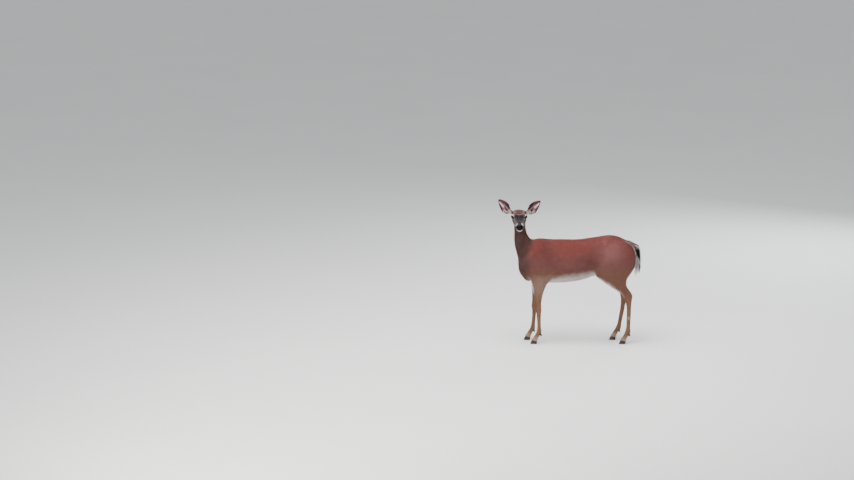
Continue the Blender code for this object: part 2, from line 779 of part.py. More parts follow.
def main():
    clear_scene()
    parts = collection("white_tailed_deer")
    cutters = collection("cutters")
    body = modelled_body(parts)
    few_triangles(body, BODY_TRIANGLES)

    tail = trimmed(tail_loft(parts), [body], cutters)
    ears = [trimmed(ear(f"ear_{word}", side, word, parts), [body], cutters)
            for side, word in ((1, "left"), (-1, "right"))]
    eyes = []
    for side, word in ((1, "left"), (-1, "right")):
        combined(body, eye_window(f"window_{word}", side, cutters), "DIFFERENCE")
        combined(body, eyeball(f"socket_{word}", side, EYE_CLEARANCE, cutters), "DIFFERENCE")
        eyes.append(eyeball(f"eye_{word}", side, 0.0, parts))

    pad = bpy.data.objects.new("nose_pad", body.data.copy())
    parts.objects.link(pad)
    combined(pad, nose_block("pad_block", 0.0, cutters), "INTERSECT")
    combined(body, nose_block("pad_socket", GAP, cutters), "DIFFERENCE")

    claws = []
    for leg, x, toe_y, side in foot_places():
        combined(body, under_coronet(f"below_{leg}", x, toe_y, cutters), "DIFFERENCE")
        for word, outward in (("outer", side), ("inner", -side)):
            claws.append(claw(f"claw_{leg}_{word}", x, toe_y, outward, parts))
        y = DEWCLAW_Y[leg[:4]] - foot_step(DEWCLAW_Z, STEPS[leg])
        for word, outward in (("outer", side), ("inner", -side)):
            nub = dewclaw(f"dewclaw_{leg}_{word}", x + outward * DEWCLAW_X, y, DEWCLAW_Z, outward, parts)
            claws.append(trimmed(nub, [body], cutters))

    flesh = parted(body, parts, cutters)

    for cutter in list(cutters.objects):
        cutter.hide_render = True
        cutter.display_type = "WIRE"
    cutters.hide_render = True

    coat = material("summer_coat", (0.36, 0.17, 0.10), 0.85)
    for obj in (*flesh, tail, *ears):
        painted(obj, coat.copy())
    for obj in eyes:
        painted(obj, material("eye", (0.02, 0.012, 0.01), 0.08))
    painted(pad, material("nose_leather", (0.02, 0.02, 0.024), 0.45))
    for obj in claws:
        painted(obj, material("horn", (0.045, 0.038, 0.034), 0.5))
    placed(list(parts.objects))


if __name__ == "__main__":
    main()
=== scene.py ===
"""A white-tailed doe: one sculpted skin, a coat of mesh tufts, eyes and hooves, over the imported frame."""

import math

import bmesh
import bpy
import numpy as np
from mathutils import Matrix, Vector
from mathutils.kdtree import KDTree


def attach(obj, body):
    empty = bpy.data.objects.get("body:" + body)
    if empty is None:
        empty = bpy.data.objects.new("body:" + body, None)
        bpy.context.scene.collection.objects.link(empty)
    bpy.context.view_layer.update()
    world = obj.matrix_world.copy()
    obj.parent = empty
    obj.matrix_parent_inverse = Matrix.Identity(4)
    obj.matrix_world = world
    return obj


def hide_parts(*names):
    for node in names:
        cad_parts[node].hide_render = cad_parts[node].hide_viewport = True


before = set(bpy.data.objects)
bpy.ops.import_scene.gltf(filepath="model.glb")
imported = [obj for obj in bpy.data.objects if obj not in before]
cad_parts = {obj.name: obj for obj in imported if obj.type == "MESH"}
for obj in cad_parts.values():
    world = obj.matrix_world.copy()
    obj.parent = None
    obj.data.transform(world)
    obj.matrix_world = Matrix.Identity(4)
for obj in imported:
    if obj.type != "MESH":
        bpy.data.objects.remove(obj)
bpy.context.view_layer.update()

random = np.random.default_rng(20)


# ---------------------------------------------------------------- places, in metres
# +X is the doe's left, -Y is ahead of its body, and its head is turned to face +X.
MID_X = -0.0464  # the body's middle plane
NOSE = np.array((0.1851, -0.4066, 0.9838))
HEAD_PITCH = math.radians(11)
AHEAD = np.array((math.cos(HEAD_PITCH), 0.0, -math.sin(HEAD_PITCH)))
ABOVE = np.array((math.sin(HEAD_PITCH), 0.0, math.cos(HEAD_PITCH)))
SIDEWAYS = np.array((0.0, 1.0, 0.0))
SIDES = {"left": 1, "right": -1}

EYE_BACK = 0.1559  # behind the nose
EYE_OUT = 0.0487
EYE_UP = 0.0321
EYE_RADIUS = 0.0156
EYE_AIM = (0.84, 0.53, 0.10)  # out, ahead and up
EYE_TILT = math.radians(12)  # the front corner of the eye is the lower one
EYE_HALF_LENGTH = math.radians(57)
EYE_HALF_HEIGHT = (math.radians(27), math.radians(35))  # the lower lid's and the upper lid's
LID_CURVE = 2.2  # how full the lids' arcs are

EAR_ROOT = (0.0496, 0.2230, 0.0340)  # out, back and up from the nose
EAR_LENGTH = 0.1588
EAR_RISE = {1: math.radians(35.5), -1: math.radians(41.5)}  # the left ear's and the right ear's
EAR_SWEEP = math.radians(17)

FLESH = {
    "trunk": ("trunk",),
    "neck": ("neck",),
    "head": ("head", "nose_pad"),
    "tail": ("tail",),
    "ear": ("ear_left", "ear_right"),
    "foreleg": ("foreleg_left", "foreleg_right"),
    "hindleg": ("hindleg_left", "hindleg_right"),
}
REGIONS = list(FLESH)


# ---------------------------------------------------------------- arithmetic on rows of points
def unit(vectors):
    return vectors / np.maximum(np.linalg.norm(vectors, axis=-1, keepdims=True), 1e-9)


def dot(first, second):
    return (first * second).sum(-1)


def ramp(value, start, end):
    """0 before start, 1 after end, and a soft step between; start may be the larger."""
    share = np.clip((value - start) / (end - start), 0.0, 1.0)
    return share * share * (3 - 2 * share)


def bump(value, middle, width):
    return np.exp(-(((value - middle) / width) ** 2))


def mix(first, second, amount):
    return first + (second - first) * np.asarray(amount)[..., None]


def layered(colour, *layers):
    """A colour with others laid over it in turn, each given with how much of it shows."""
    for over, amount in layers:
        colour = mix(colour, over, amount)
    return colour


def rows(*columns):
    """Numbers and columns of numbers side by side, as rows."""
    return np.stack(np.broadcast_arrays(*columns), axis=-1)


def srgb(red, green, blue):
    """A colour as it is named on screen, in linear light."""
    share = np.array((red, green, blue)) / 255
    return np.where(share <= 0.04045, share / 12.92, ((share + 0.055) / 1.055) ** 2.4)


def ripple(points, size, phase=0.0):
    """Soft unevenness between about -1 and 1, in blotches of about this size."""
    x, y, z = (points * (2 * math.pi / size)).T
    first = np.sin(x + 0.6 * y + 1.3 * np.sin(0.7 * z + phase) + phase)
    second = np.sin(0.8 * y - 0.5 * z + 1.2 * np.sin(0.9 * x + 2 * phase) + 1.7)
    third = np.sin(0.9 * z + 0.4 * x + 1.1 * np.sin(0.8 * y - phase) + 3.1 * phase)
    return (first + second + third) / 2.2


def distance_to_path(across, along, path):
    """How far points in a plane are from a path, and how far along the path the nearest place is."""
    nearest = np.full(len(across), np.inf)
    share = np.zeros(len(across))
    place = np.stack((across, along), axis=1)
    steps = len(path) - 1
    for i, (start, end) in enumerate(zip(path, path[1:])):
        start, end = np.array(start), np.array(end)
        step = end - start
        here = np.clip(((place - start) @ step) / (step @ step), 0, 1)
        gap = np.linalg.norm(place - start - here[:, None] * step, axis=1)
        closer = gap < nearest
        nearest = np.where(closer, gap, nearest)
        share = np.where(closer, (i + here) / steps, share)
    return nearest, share


# ---------------------------------------------------------------- frames of the head, eyes, ears and tail
def in_head(points):
    """Left, back and up from the tip of the nose."""
    away = points - NOSE
    return away @ SIDEWAYS, -(away @ AHEAD), away @ ABOVE


def from_head(out, back, up):
    return NOSE + out * SIDEWAYS - back * AHEAD + up * ABOVE


def eye_frame(side):
    """An eyeball's centre, and its directions outwards, towards its front corner and up its lids."""
    centre = from_head(side * EYE_OUT, EYE_BACK, EYE_UP)
    aim = unit(EYE_AIM[0] * side * SIDEWAYS + EYE_AIM[1] * AHEAD + EYE_AIM[2] * ABOVE)
    lift = unit(ABOVE - (ABOVE @ aim) * aim)
    front = unit(AHEAD - (AHEAD @ aim) * aim - (AHEAD @ lift) * lift)
    turned_lift = math.cos(EYE_TILT) * lift + math.sin(EYE_TILT) * front
    turned_front = math.cos(EYE_TILT) * front - math.sin(EYE_TILT) * lift
    return centre, aim, turned_front, turned_lift


def by_side(points, frame_of):
    """For each point, the eye's or the ear's frame on its own side of the head, as rows."""
    left = (points[:, 1] > NOSE[1])[:, None]
    return [np.where(left, *pair) for pair in zip(frame_of(1), frame_of(-1))]


def round_eye(points):
    """Where points are round the eye on their side: 1 on the edge of its lids, less between them and more
    beyond; the angles towards its front corner and up its lids; the angle off its aim; and the distance."""
    centre, aim, front, lift = by_side(points, eye_frame)
    away = points - centre
    distance = np.linalg.norm(away, axis=1)
    outwards = away / np.maximum(distance, 1e-9)[:, None]
    forwards = np.arctan2(dot(outwards, front), np.maximum(dot(outwards, aim), 1e-3))
    upwards = np.arcsin(np.clip(dot(outwards, lift), -1, 1))
    off = np.arccos(np.clip(dot(outwards, aim), -1, 1))
    lower, upper = EYE_HALF_HEIGHT
    half = np.where(upwards > 0, upper, lower)
    share = (np.abs(forwards) / EYE_HALF_LENGTH) ** LID_CURVE + np.abs(upwards) / half
    return share, forwards, upwards, off, distance


def ear_frame(side):
    """An ear's root, and its directions to its tip, out of its hollow side and to its lower edge."""
    rise = EAR_RISE[side]
    axis = unit(side * math.cos(rise) * SIDEWAYS - math.tan(EAR_SWEEP) * AHEAD + math.sin(rise) * ABOVE)
    face = side * 0.20 * SIDEWAYS + AHEAD + 0.20 * ABOVE
    face = unit(face - (face @ axis) * axis)
    across = side * unit(np.cross(axis, face))
    across = across * (1 if across @ ABOVE < 0 else -1)
    return from_head(side * EAR_ROOT[0], EAR_ROOT[1], EAR_ROOT[2]), axis, face, across


def in_ear(points, normals):
    """In the ear on each point's side, shares of its length and half width, and how much the point faces out
    of its hollow side."""
    root, axis, face, across = by_side(points, ear_frame)
    away = points - root
    along = dot(away, axis) / EAR_LENGTH
    half = 0.045 * np.sin(np.pi * np.clip(0.10 + 0.82 * along, 0.02, 0.98)) ** 0.8
    beside = dot(away, across)
    lower_half = half * (1 + 0.30 * bump(along, 0.29, 0.17))
    return along, beside / np.where(beside > 0, lower_half, half), dot(normals, face)


TAIL_LINE = (
    # y and z down the tail's middle, and the half width and half thickness of its hair
    (0.4505, 0.8110, 0.014, 0.012),
    (0.4959, 0.8042, 0.023, 0.018),
    (0.5261, 0.7702, 0.031, 0.021),
    (0.5441, 0.7229, 0.038, 0.022),
    (0.5526, 0.6710, 0.039, 0.022),
    (0.5554, 0.6190, 0.032, 0.019),
    (0.5545, 0.5812, 0.021, 0.013),
    (0.5526, 0.5594, 0.009, 0.006),
)
TAIL_CORE = (0.016, 0.004)  # radius of the tail itself, at its root and tip
TAIL_CORE_END = 0.74  # the tail's flesh ends at this share of its hair's length
TAIL_CORE_RINGS = 24
TAIL_CORE_SIDES = 16


def along_tail(share):
    """A place on the tail's middle line, its direction there and out of its back, and its hair's half width
    and half thickness."""
    table = np.array(TAIL_LINE)
    at = np.clip(share, 0, 1) * (len(table) - 1)
    steps = np.arange(len(table))
    y, z, wide, thick = (np.interp(at, steps, column) for column in table.T)
    slope = np.gradient(table[:, :2], axis=0)
    direction = unit(rows(0.0, *(np.interp(at, steps, column) for column in slope.T)))
    outside = rows(0.0, -direction[..., 2], direction[..., 1])
    return rows(MID_X, y, z), direction, outside, wide, thick


def tail_share(points):
    """How far down the tail each point is."""
    shares = np.linspace(0, 1, 60)
    line = along_tail(shares)[0][:, 1:]
    gaps = np.linalg.norm(points[:, None, 1:] - line[None], axis=2)
    return shares[gaps.argmin(axis=1)]


# ---------------------------------------------------------------- meshes as arrays
def read(items, name, width=3, kind=float):
    """One property of all of a mesh's vertices, edges, corners or faces, as rows."""
    flat = np.empty(len(items) * width, dtype=kind)
    items.foreach_get(name, flat)
    return flat.reshape(-1, width)


def coordinates(mesh):
    return read(mesh.vertices, "co")


def vertex_normals(mesh):
    return read(mesh.vertex_normals, "vector")


def move_to(mesh, points):
    mesh.vertices.foreach_set("co", points.ravel())
    mesh.update()


def give(mesh, name, vectors):
    """A vector for each vertex, kept in the mesh for its material to read."""
    layer = mesh.attributes.new(name, "FLOAT_VECTOR", "POINT")
    layer.data.foreach_set("vector", vectors.ravel())


def paint(mesh, colours):
    """The coat's colour at each vertex."""
    layer = mesh.color_attributes.new("coat", "FLOAT_COLOR", "POINT")
    whole = np.concatenate((colours, np.ones((len(colours), 1))), axis=1)
    layer.data.foreach_set("color", np.clip(whole, 0, 1).ravel())


class Net:
    """Which vertices of a mesh are joined by an edge, for evening out values over its surface."""

    def __init__(self, mesh):
        self.count = len(mesh.vertices)
        first, second = read(mesh.edges, "vertices", 2, np.int32).T
        self.here = np.concatenate((first, second))
        self.there = np.concatenate((second, first))
        self.neighbours = np.maximum(np.bincount(self.here, minlength=self.count), 1)

    def mean(self, values):
        sums = [
            np.bincount(self.here, weights=column[self.there], minlength=self.count)
            for column in values.reshape(self.count, -1).T
        ]
        return (np.stack(sums, axis=1) / self.neighbours[:, None]).reshape(values.shape)

    def evened(self, values, rounds, amount=0.5):
        """Values moved towards their neighbours' mean, by one amount or by one for each vertex."""
        share = np.asarray(amount)
        if share.ndim:
            share = share.reshape((-1,) + (1,) * (values.ndim - 1))
        for _ in range(rounds):
            values = values + share * (self.mean(values) - values)
        return values


def object_of(name, mesh):
    made = bpy.data.objects.new(name, mesh)
    bpy.context.scene.collection.objects.link(made)
    return made


def applied(obj):
    """The object with its modifiers made part of its mesh."""
    graph = bpy.context.evaluated_depsgraph_get()
    made = bpy.data.meshes.new_from_object(obj.evaluated_get(graph))
    old = obj.data
    obj.modifiers.clear()
    obj.data = made
    bpy.data.meshes.remove(old)
    return obj


# ---------------------------------------------------------------- the skin's first shape
JOIN = 0.0008  # the fleshy parts grow by this to meet across their gaps
SKIN_VOXEL = 0.003
SKIN_FACES = 125000


def welded(node):
    """One solid of the frame as a closed mesh."""
    part = bmesh.new()
    part.from_mesh(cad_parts[node].data)
    bmesh.ops.remove_doubles(part, verts=part.verts, dist=0.00002)
    return part


def tail_core():
    """The tail without its hair, a tapered tube down the tail's middle."""
    part = bmesh.new()
    rings = []
    for share in np.linspace(0.0, TAIL_CORE_END, TAIL_CORE_RINGS):
        place, _, outside, wide, thick = along_tail(share)
        core = TAIL_CORE[0] + (TAIL_CORE[1] - TAIL_CORE[0]) * share / TAIL_CORE_END
        slim = ramp(share, 0.10, 0.34)
        half_wide = wide + (1.1 * core - wide) * slim
        half_thick = thick + (0.85 * core - thick) * slim
        ring = []
        for turn in np.arange(TAIL_CORE_SIDES) * (2 * math.pi / TAIL_CORE_SIDES):
            out = rows(math.cos(turn) * half_wide, 0.0, 0.0) - math.sin(turn) * half_thick * outside
            ring.append(part.verts.new(place + out))
        rings.append(ring)
    for first, second in zip(rings, rings[1:]):
        for i in range(TAIL_CORE_SIDES):
            j = (i + 1) % TAIL_CORE_SIDES
            part.faces.new((first[i], first[j], second[j], second[i]))
    part.faces.new(rings[0])
    part.faces.new(rings[-1][::-1])
    bmesh.ops.recalc_face_normals(part, faces=part.faces)
    return part


def grown_flesh():
    """One mesh of all fleshy parts, grown until they meet, with the eye sockets filled, and which region's
    number each place on it has."""
    whole = bmesh.new()
    places, kinds = [], []
    for kind, nodes in enumerate(FLESH.values()):
        for node in nodes:
            part = tail_core() if node == "tail" else welded(node)
            part.normal_update()
            for vertex in part.verts:
                vertex.co += vertex.normal * JOIN
                places.append(vertex.co.copy())
                kinds.append(kind)
            mesh = bpy.data.meshes.new("part")
            part.to_mesh(mesh)
            part.free()
            whole.from_mesh(mesh)
            bpy.data.meshes.remove(mesh)
    for side in SIDES.values():
        place = Matrix.Translation(Vector(eye_frame(side)[0]))
        bmesh.ops.create_icosphere(whole, subdivisions=4, radius=EYE_RADIUS + JOIN, matrix=place)
    mesh = bpy.data.meshes.new("skin")
    whole.to_mesh(mesh)
    whole.free()
    tree = KDTree(len(places))
    for i, place in enumerate(places):
        tree.insert(place, i)
    tree.balance()
    return object_of("skin", mesh), (tree, kinds)


def region_shares(points, net, flesh):
    """How much of each region every point belongs to, with soft borders."""
    tree, kinds = flesh
    nearest = [kinds[tree.find(point)[1]] for point in points]
    shares = np.zeros((len(points), len(REGIONS)))
    shares[np.arange(len(points)), nearest] = 1.0
    return net.evened(shares, 12)


def region(shares, *names):
    """How much of the named regions there is at each place."""
    return sum(shares[:, REGIONS.index(name)] for name in names)


def by_region(shares, **amounts):
    """One amount for each place, from the amounts of the regions that it belongs to."""
    return sum(amount * region(shares, name) for name, amount in amounts.items())


def evenness(points, shares):
    """How much the facets of the solids are smoothed away, least where the forms are small."""
    leg = 0.05 + 0.95 * ramp(points[:, 2], 0.34, 0.60)
    return by_region(shares, trunk=1.0, neck=0.85, head=0.28, tail=0.10, ear=0.12, foreleg=leg, hindleg=leg)


def coat_depth(points, shares):
    """How far the skin lies below the solids' surface, which is where the hair ends."""
    leg = 0.0012 + 0.0018 * ramp(points[:, 2], 0.20, 0.55)
    head = 0.0008 + 0.0020 * ramp(in_head(points)[1], 0.03, 0.20)
    return by_region(shares, trunk=0.0030, neck=0.0030, head=head, ear=0.0006, foreleg=leg, hindleg=leg)


def make_skin():
    """The doe's whole skin as one mesh, without seams, at about the depth of its coat."""
    skin, flesh = grown_flesh()
    blocks = skin.modifiers.new("whole", "REMESH")
    blocks.mode = "VOXEL"
    blocks.voxel_size = SKIN_VOXEL
    applied(skin)
    net = Net(skin.data)
    points = coordinates(skin.data)
    shares = region_shares(points, net, flesh)
    points = net.evened(points, 100, 0.5 * np.clip(evenness(points, shares), 0, 1))
    move_to(skin.data, points)
    normals = vertex_normals(skin.data)
    points = points - normals * (JOIN + coat_depth(points, shares))[:, None]
    move_to(skin.data, net.evened(points, 2, 0.3))
    kept = region(shares, "head", "ear", "tail")
    group = skin.vertex_groups.new(name="coarse")
    group.add(np.flatnonzero(kept < 0.4).tolist(), 1.0, "REPLACE")
    fewer = skin.modifiers.new("fewer", "DECIMATE")
    fewer.ratio = SKIN_FACES / (2 * len(skin.data.polygons))
    fewer.vertex_group = "coarse"
    applied(skin)
    skin.vertex_groups.clear()
    return skin, flesh


# ---------------------------------------------------------------- the head's fine forms
LID_EDGE = 0.0013  # the lids' edge stands this far off the eyeball
LID_HOLLOW = 0.0028  # the skin between the lids lies this far under the eyeball's surface
LIDS_REACH = 0.034  # from the eyeball's centre
NOSTRIL = ((0.0108, -0.0040), (0.0150, -0.0028), (0.0190, 0.0018), (0.0200, 0.0075))  # out and up
LIP = -0.0280  # height of the mouth's line at its front
MOUTH = (
    # back and up
    (-0.006, LIP + 0.0015), (0.010, LIP), (0.034, LIP - 0.0030), (0.058, LIP + 0.0020), (0.067, LIP + 0.0065),
)
TEAR_SLIT = ((0.1330, 0.0215), (0.1230, 0.0135), (0.1150, 0.0075))  # back and up
CANNON = (0.09, 0.30)  # heights between which the legs have grooves
CANNON_STEP = 0.012  # a groove's place is worked out once for so much of the leg's height
FEWEST_POINTS = 8  # that a leg's width can be told from


def refined(mesh, centres):
    """Finer faces within some distance of each centre."""
    bm = bmesh.new()
    bm.from_mesh(mesh)
    near = set()
    for centre, reach in centres:
        middle = Vector(centre)
        near.update(v.index for v in bm.verts if (v.co - middle).length < reach)
    edges = [e for e in bm.edges if e.verts[0].index in near and e.verts[1].index in near]
    bmesh.ops.subdivide_edges(bm, edges=edges, cuts=1, use_grid_fill=True)
    bmesh.ops.triangulate(bm, faces=[f for f in bm.faces if len(f.verts) > 4])
    bm.to_mesh(mesh)
    bm.free()


def shape_lids(points):
    """Lids around each eyeball, open in an almond, with a fold over the upper one."""
    centre = by_side(points, eye_frame)[0]
    share, _, upwards, off, distance = round_eye(points)
    natural = np.maximum(distance, EYE_RADIUS + 0.0009)
    lid = EYE_RADIUS + LID_EDGE + 0.0006 * bump(share, 1.12, 0.12)
    upper = ramp(upwards, 0.0, 0.20)
    lid = lid - 0.0010 * upper * bump(share, 1.55, 0.10) + 0.0010 * upper * ramp(share, 1.58, 1.9)
    lid = lid - 0.0005 * (1 - upper) * bump(share, 1.55, 0.12)
    away = ramp(off, math.radians(56), math.radians(80))
    outside = lid + away * (natural - lid)
    inside = EYE_RADIUS - LID_HOLLOW
    opening = 1 - ramp(share, 0.90, 1.01)
    radius = outside + opening * (inside - outside)
    shaped = (distance < LIDS_REACH) & (off < math.radians(88))
    moved = centre + (points - centre) / distance[:, None] * radius[:, None]
    return np.where(shaped[:, None], moved, points)


def shape_nose(points, normals):
    """Nostrils, the cleft of the upper lip and the line of the mouth."""
    side, back, up = in_head(points)
    out = np.abs(side)
    ahead = normals @ AHEAD
    gap, share = distance_to_path(out, up, NOSTRIL)
    wide = 0.0042 - 0.0026 * share
    front = ramp(back, 0.030, 0.020) * ramp(ahead, -0.10, 0.25)
    hole = front * (1 - ramp(gap / wide, 0.45, 1.15))
    rim = front * bump(gap / wide, 1.75, 0.45)
    inwards = -AHEAD * 0.9 - np.sign(side)[:, None] * SIDEWAYS * 0.25
    points = points + inwards * (0.0085 * hole)[:, None] + normals * (0.0009 * rim)[:, None]
    cleft = bump(out, 0, 0.0011) * ramp(up, 0.001, -0.006) * ramp(up, LIP - 0.001, LIP + 0.002)
    cleft = cleft * ramp(back, 0.022, 0.012)
    gap, share = distance_to_path(back, up, MOUTH)
    deep = 0.0026 * ramp(share, 1.0, 0.85)
    line = bump(gap, 0, 0.0013) * ramp(back, 0.078, 0.070)
    lips = bump(gap, 0.0045, 0.0030) * ramp(back, 0.078, 0.060) * 0.0007
    return points + normals * (lips - 0.0012 * cleft - deep * line)[:, None]


def shape_face(points, normals, shares):
    """Tear slits, cheek folds, and the thin skin's soft unevenness."""
    side, back, up = in_head(points)
    head = region(shares, "head")
    gap, share = distance_to_path(back, up, TEAR_SLIT)
    slit = bump(gap, 0, 0.0016) * ramp(np.abs(side), 0.018, 0.026) * (1 - 0.5 * share)
    bank = bump(gap, 0.0045, 0.0022) * ramp(np.abs(side), 0.018, 0.026)
    depth = 0.0007 * bank - 0.0026 * slit
    temple = bump(back, 0.183, 0.018) * bump(up, 0.047, 0.012) * ramp(np.abs(side), 0.020, 0.034)
    jaw = bump(up + 0.030, 0.10 * (back - 0.14), 0.006) * ramp(back, 0.10, 0.13) * ramp(back, 0.20, 0.17)
    depth = depth - 0.0022 * temple - 0.0009 * jaw + 0.0002 * ripple(points, 0.016)
    return points + normals * (head * depth)[:, None]


def shape_legs(points, normals, shares):
    """The grooves between bone and tendon along the cannons."""
    height = points[:, 2]
    left = points[:, 0] > MID_X
    deep = 0.0016 * ramp(np.abs(normals[:, 0]), 0.5, 0.9)
    deep = deep * ramp(height, 0.10, 0.13) * ramp(height, 0.27, 0.22)
    deep = deep * region(shares, "foreleg", "hindleg")
    moved = points.copy()
    for word in ("foreleg", "hindleg"):
        for mine in (left, ~left):
            leg = mine & (region(shares, word) > 0.5)
            for level in np.arange(*CANNON, CANNON_STEP):
                gap = np.abs(height - level)
                across = points[leg & (gap < 0.008), 1]
                if len(across) < FEWEST_POINTS:
                    continue
                groove = across.min() + 0.60 * (across.max() - across.min())
                here = np.flatnonzero(leg & (gap <= CANNON_STEP / 2))
                depth = deep[here] * bump(points[here, 1], groove, 0.0035)
                moved[here] -= normals[here] * depth[:, None]
    return moved


def shape_body(points, normals, shares):
    """Slight ribs, and a soft unevenness of the whole body."""
    _, y, z = points.T
    ribs = np.sin((y + 0.30 * (z - 0.6)) * (2 * math.pi / 0.034))
    ribs = ribs * ramp(y, -0.16, -0.06) * ramp(y, 0.17, 0.09)
    ribs = ribs * ramp(z, 0.52, 0.62) * ramp(z, 0.78, 0.66) * ramp(np.abs(normals[:, 0]), 0.45, 0.85)
    height = 0.0003 * ribs + 0.0010 * ripple(points, 0.16) + 0.0004 * ripple(points, 0.06, 1.0)
    return points + normals * (by_region(shares, trunk=1.0, neck=0.5) * height)[:, None]


def sculpt(skin, flesh):
    """The fine forms, cut into the skin after its faces are made finer at the eyes and the muzzle."""
    mesh = skin.data
    eyes = [eye_frame(side)[0] for side in SIDES.values()]
    muzzle = from_head(0, 0.012, -0.004)
    lips = from_head(0, 0.045, -0.010)
    refined(mesh, [(eye, 0.033) for eye in eyes] + [(muzzle, 0.046), (lips, 0.050)])
    refined(mesh, [(eye, 0.0215) for eye in eyes] + [(muzzle, 0.034)])
    net = Net(mesh)
    points = coordinates(mesh)
    shares = region_shares(points, net, flesh)
    near = np.min([np.linalg.norm(points - eye, axis=1) for eye in eyes + [muzzle]], axis=0)
    points = net.evened(points, 4, 0.5 * ramp(near, 0.055, 0.035))
    points = shape_lids(points)
    move_to(mesh, points)
    for shape in (shape_face, shape_legs, shape_body):
        points = shape(points, vertex_normals(mesh), shares)
        move_to(mesh, points)
    points = shape_nose(points, vertex_normals(mesh))
    near = np.linalg.norm(points - muzzle, axis=1)
    move_to(mesh, net.evened(points, 2, 0.35 * ramp(near, 0.036, 0.026)))
    return shares


# ---------------------------------------------------------------- markings
BACK = srgb(146, 84, 79)
SIDE = srgb(137, 92, 87)
# painted shade: a darker red-brown laid behind the shoulder and in the fold in front of the thigh
FOLD_SHADE = srgb(122, 71, 68)
# painted highlight: a paler patch on the rounded top of the haunch
HAUNCH_HIGHLIGHT = srgb(162, 114, 112)
THIGH = srgb(142, 104, 90)
LOWER_SIDE = srgb(134, 98, 80)
LOWER_LEG = srgb(146, 112, 90)
NECK = srgb(98, 75, 71)
NAPE = srgb(112, 74, 67)
CROWN = srgb(90, 58, 60)
CROWN_RIM = srgb(126, 100, 92)
FOREHEAD = srgb(22, 17, 22)
BRIDGE = srgb(40, 34, 39)
CHEEK = srgb(108, 91, 91)
WHITE = srgb(232, 226, 222)
CREAM = srgb(196, 178, 160)
BLACK = srgb(14, 12, 14)
LEATHER = srgb(16, 15, 20)
EAR_BACK_HAIR = srgb(104, 74, 66)
EAR_INSIDE = srgb(120, 76, 87)
# painted shade deep in the ear's hollow, towards its root
EAR_HOLLOW_SHADE = srgb(50, 28, 36)
TAIL_TOP = srgb(118, 72, 58)


def eye_height(back, up):
    """Height above the eyes for someone who looks the doe in the face from a little higher."""
    return 0.375 * (back - EYE_BACK) + 0.927 * (up - EYE_UP)


NOSE_LEVELS = (-0.116, -0.108, -0.100, -0.092, -0.086, -0.080, -0.074, -0.068, -0.060, -0.055)
NOSE_HALVES = (0.003, 0.0110, 0.0185, 0.0255, 0.0305, 0.0302, 0.0262, 0.0215, 0.0140, -0.003)


def nose_share(points):
    """1 on the bare black nose and 0 off it."""
    side, back, up = in_head(points)
    level = eye_height(back, up)
    half = np.interp(level, NOSE_LEVELS, NOSE_HALVES)
    inside = ramp(np.abs(side) - half, 0.0012, -0.0012) * ramp(level, -0.118, -0.116)
    return inside * ramp(back, 0.030, 0.026) * ramp(up, LIP - 0.001, LIP + 0.0005)


def body_colour(points, normals, shares):
    """Red-brown above, paler below, and white on the belly, the rump and the insides of the legs."""
    x, y, z = points.T
    out = np.abs(x - MID_X)
    inner = -np.sign(x - MID_X) * normals[:, 0]
    below = -normals[:, 2]
    patchy = ripple(points, 0.11) * 0.5 + ripple(points, 0.045, 2.0) * 0.5
    height = z + 0.012 * patchy
    belly = ramp(below + 0.06 * patchy, 0.22, 0.74) * ramp(y, -0.37, -0.25) * ramp(z, 0.66, 0.62)
    armpit = ramp(inner + 0.6 * below + 0.10 * patchy, 0.25, 0.60) * ramp(out, 0.09, 0.07)
    armpit = armpit * bump(y, -0.27, 0.06) * ramp(z, 0.60, 0.52) * ramp(z, 0.36, 0.44)
    inside = ramp(inner + 0.10 * patchy, 0.25, 0.70)
    hind = region(shares, "hindleg") * inside * ramp(z, 0.38, 0.50)
    fore = region(shares, "foreleg") * inside * ramp(z, 0.33, 0.48)
    fore = fore * ramp(y, -0.40, -0.34) * ramp(z, 0.60, 0.52)
    half = 0.046 + 0.030 * ramp(z, 0.825, 0.69)
    rump = ramp(out + 0.006 * ripple(points, 0.03) - half, 0.012, -0.010) * ramp(normals[:, 1], 0.15, 0.45)
    rump = rump * ramp(z, 0.85, 0.80) * ramp(y, 0.38, 0.41)
    return layered(
        SIDE,
        (BACK, ramp(height, 0.66, 0.80)),
        (LOWER_SIDE, 0.7 * ramp(height, 0.66, 0.56)),
        # painted shade behind the shoulder and in the fold in front of the thigh
        (FOLD_SHADE, 0.75 * bump(y + 0.4 * (z - 0.74), -0.18, 0.055) * bump(z, 0.75, 0.075)),
        (FOLD_SHADE, 0.60 * bump(y - 0.5 * (z - 0.70), 0.15, 0.045) * bump(z, 0.71, 0.075)),
        # painted highlight on the rounded top of the haunch
        (HAUNCH_HIGHLIGHT, 0.75 * bump(y, 0.33, 0.13) * bump(z, 0.76, 0.09)),
        (THIGH, 0.8 * ramp(y, 0.20, 0.32) * ramp(height, 0.70, 0.58)),
        (BACK * 0.80, 0.6 * bump(x, MID_X, 0.022) * ramp(normals[:, 2], 0.5, 0.9)),
        (CREAM, 0.35 * ramp(height, 0.60, 0.53) * ramp(y, -0.34, -0.24) * ramp(y, 0.24, 0.14)),
        (WHITE, np.clip(belly + armpit + hind + fore + rump, 0, 1)),
    )


def leg_colour(points, normals, shares, colour):
    """Plain tawny below, darker down the front, with the dark glands' tufts and pale feet."""
    x, y, z = points.T
    hind = region(shares, "hindleg")
    legs = region(shares, "foreleg", "hindleg")
    inner = -np.sign(x - MID_X) * normals[:, 0]
    hock = hind * bump(z, 0.395, 0.024) * bump(y, np.where(x > MID_X, 0.452, 0.392), 0.030)
    return layered(
        colour,
        (LOWER_LEG, legs * ramp(z, 0.46, 0.34)),
        (LOWER_LEG * 0.62, 0.6 * legs * ramp(-normals[:, 1], 0.3, 0.8) * ramp(z, 0.44, 0.30)),
        (CREAM, 0.6 * legs * ramp(z, 0.075, 0.045)),
        (FOREHEAD, 0.85 * hock * ramp(inner, 0.2, 0.6)),
        (CREAM, 0.7 * hind * bump(z, 0.215, 0.013) * ramp(-inner, 0.75, 0.95)),
    )


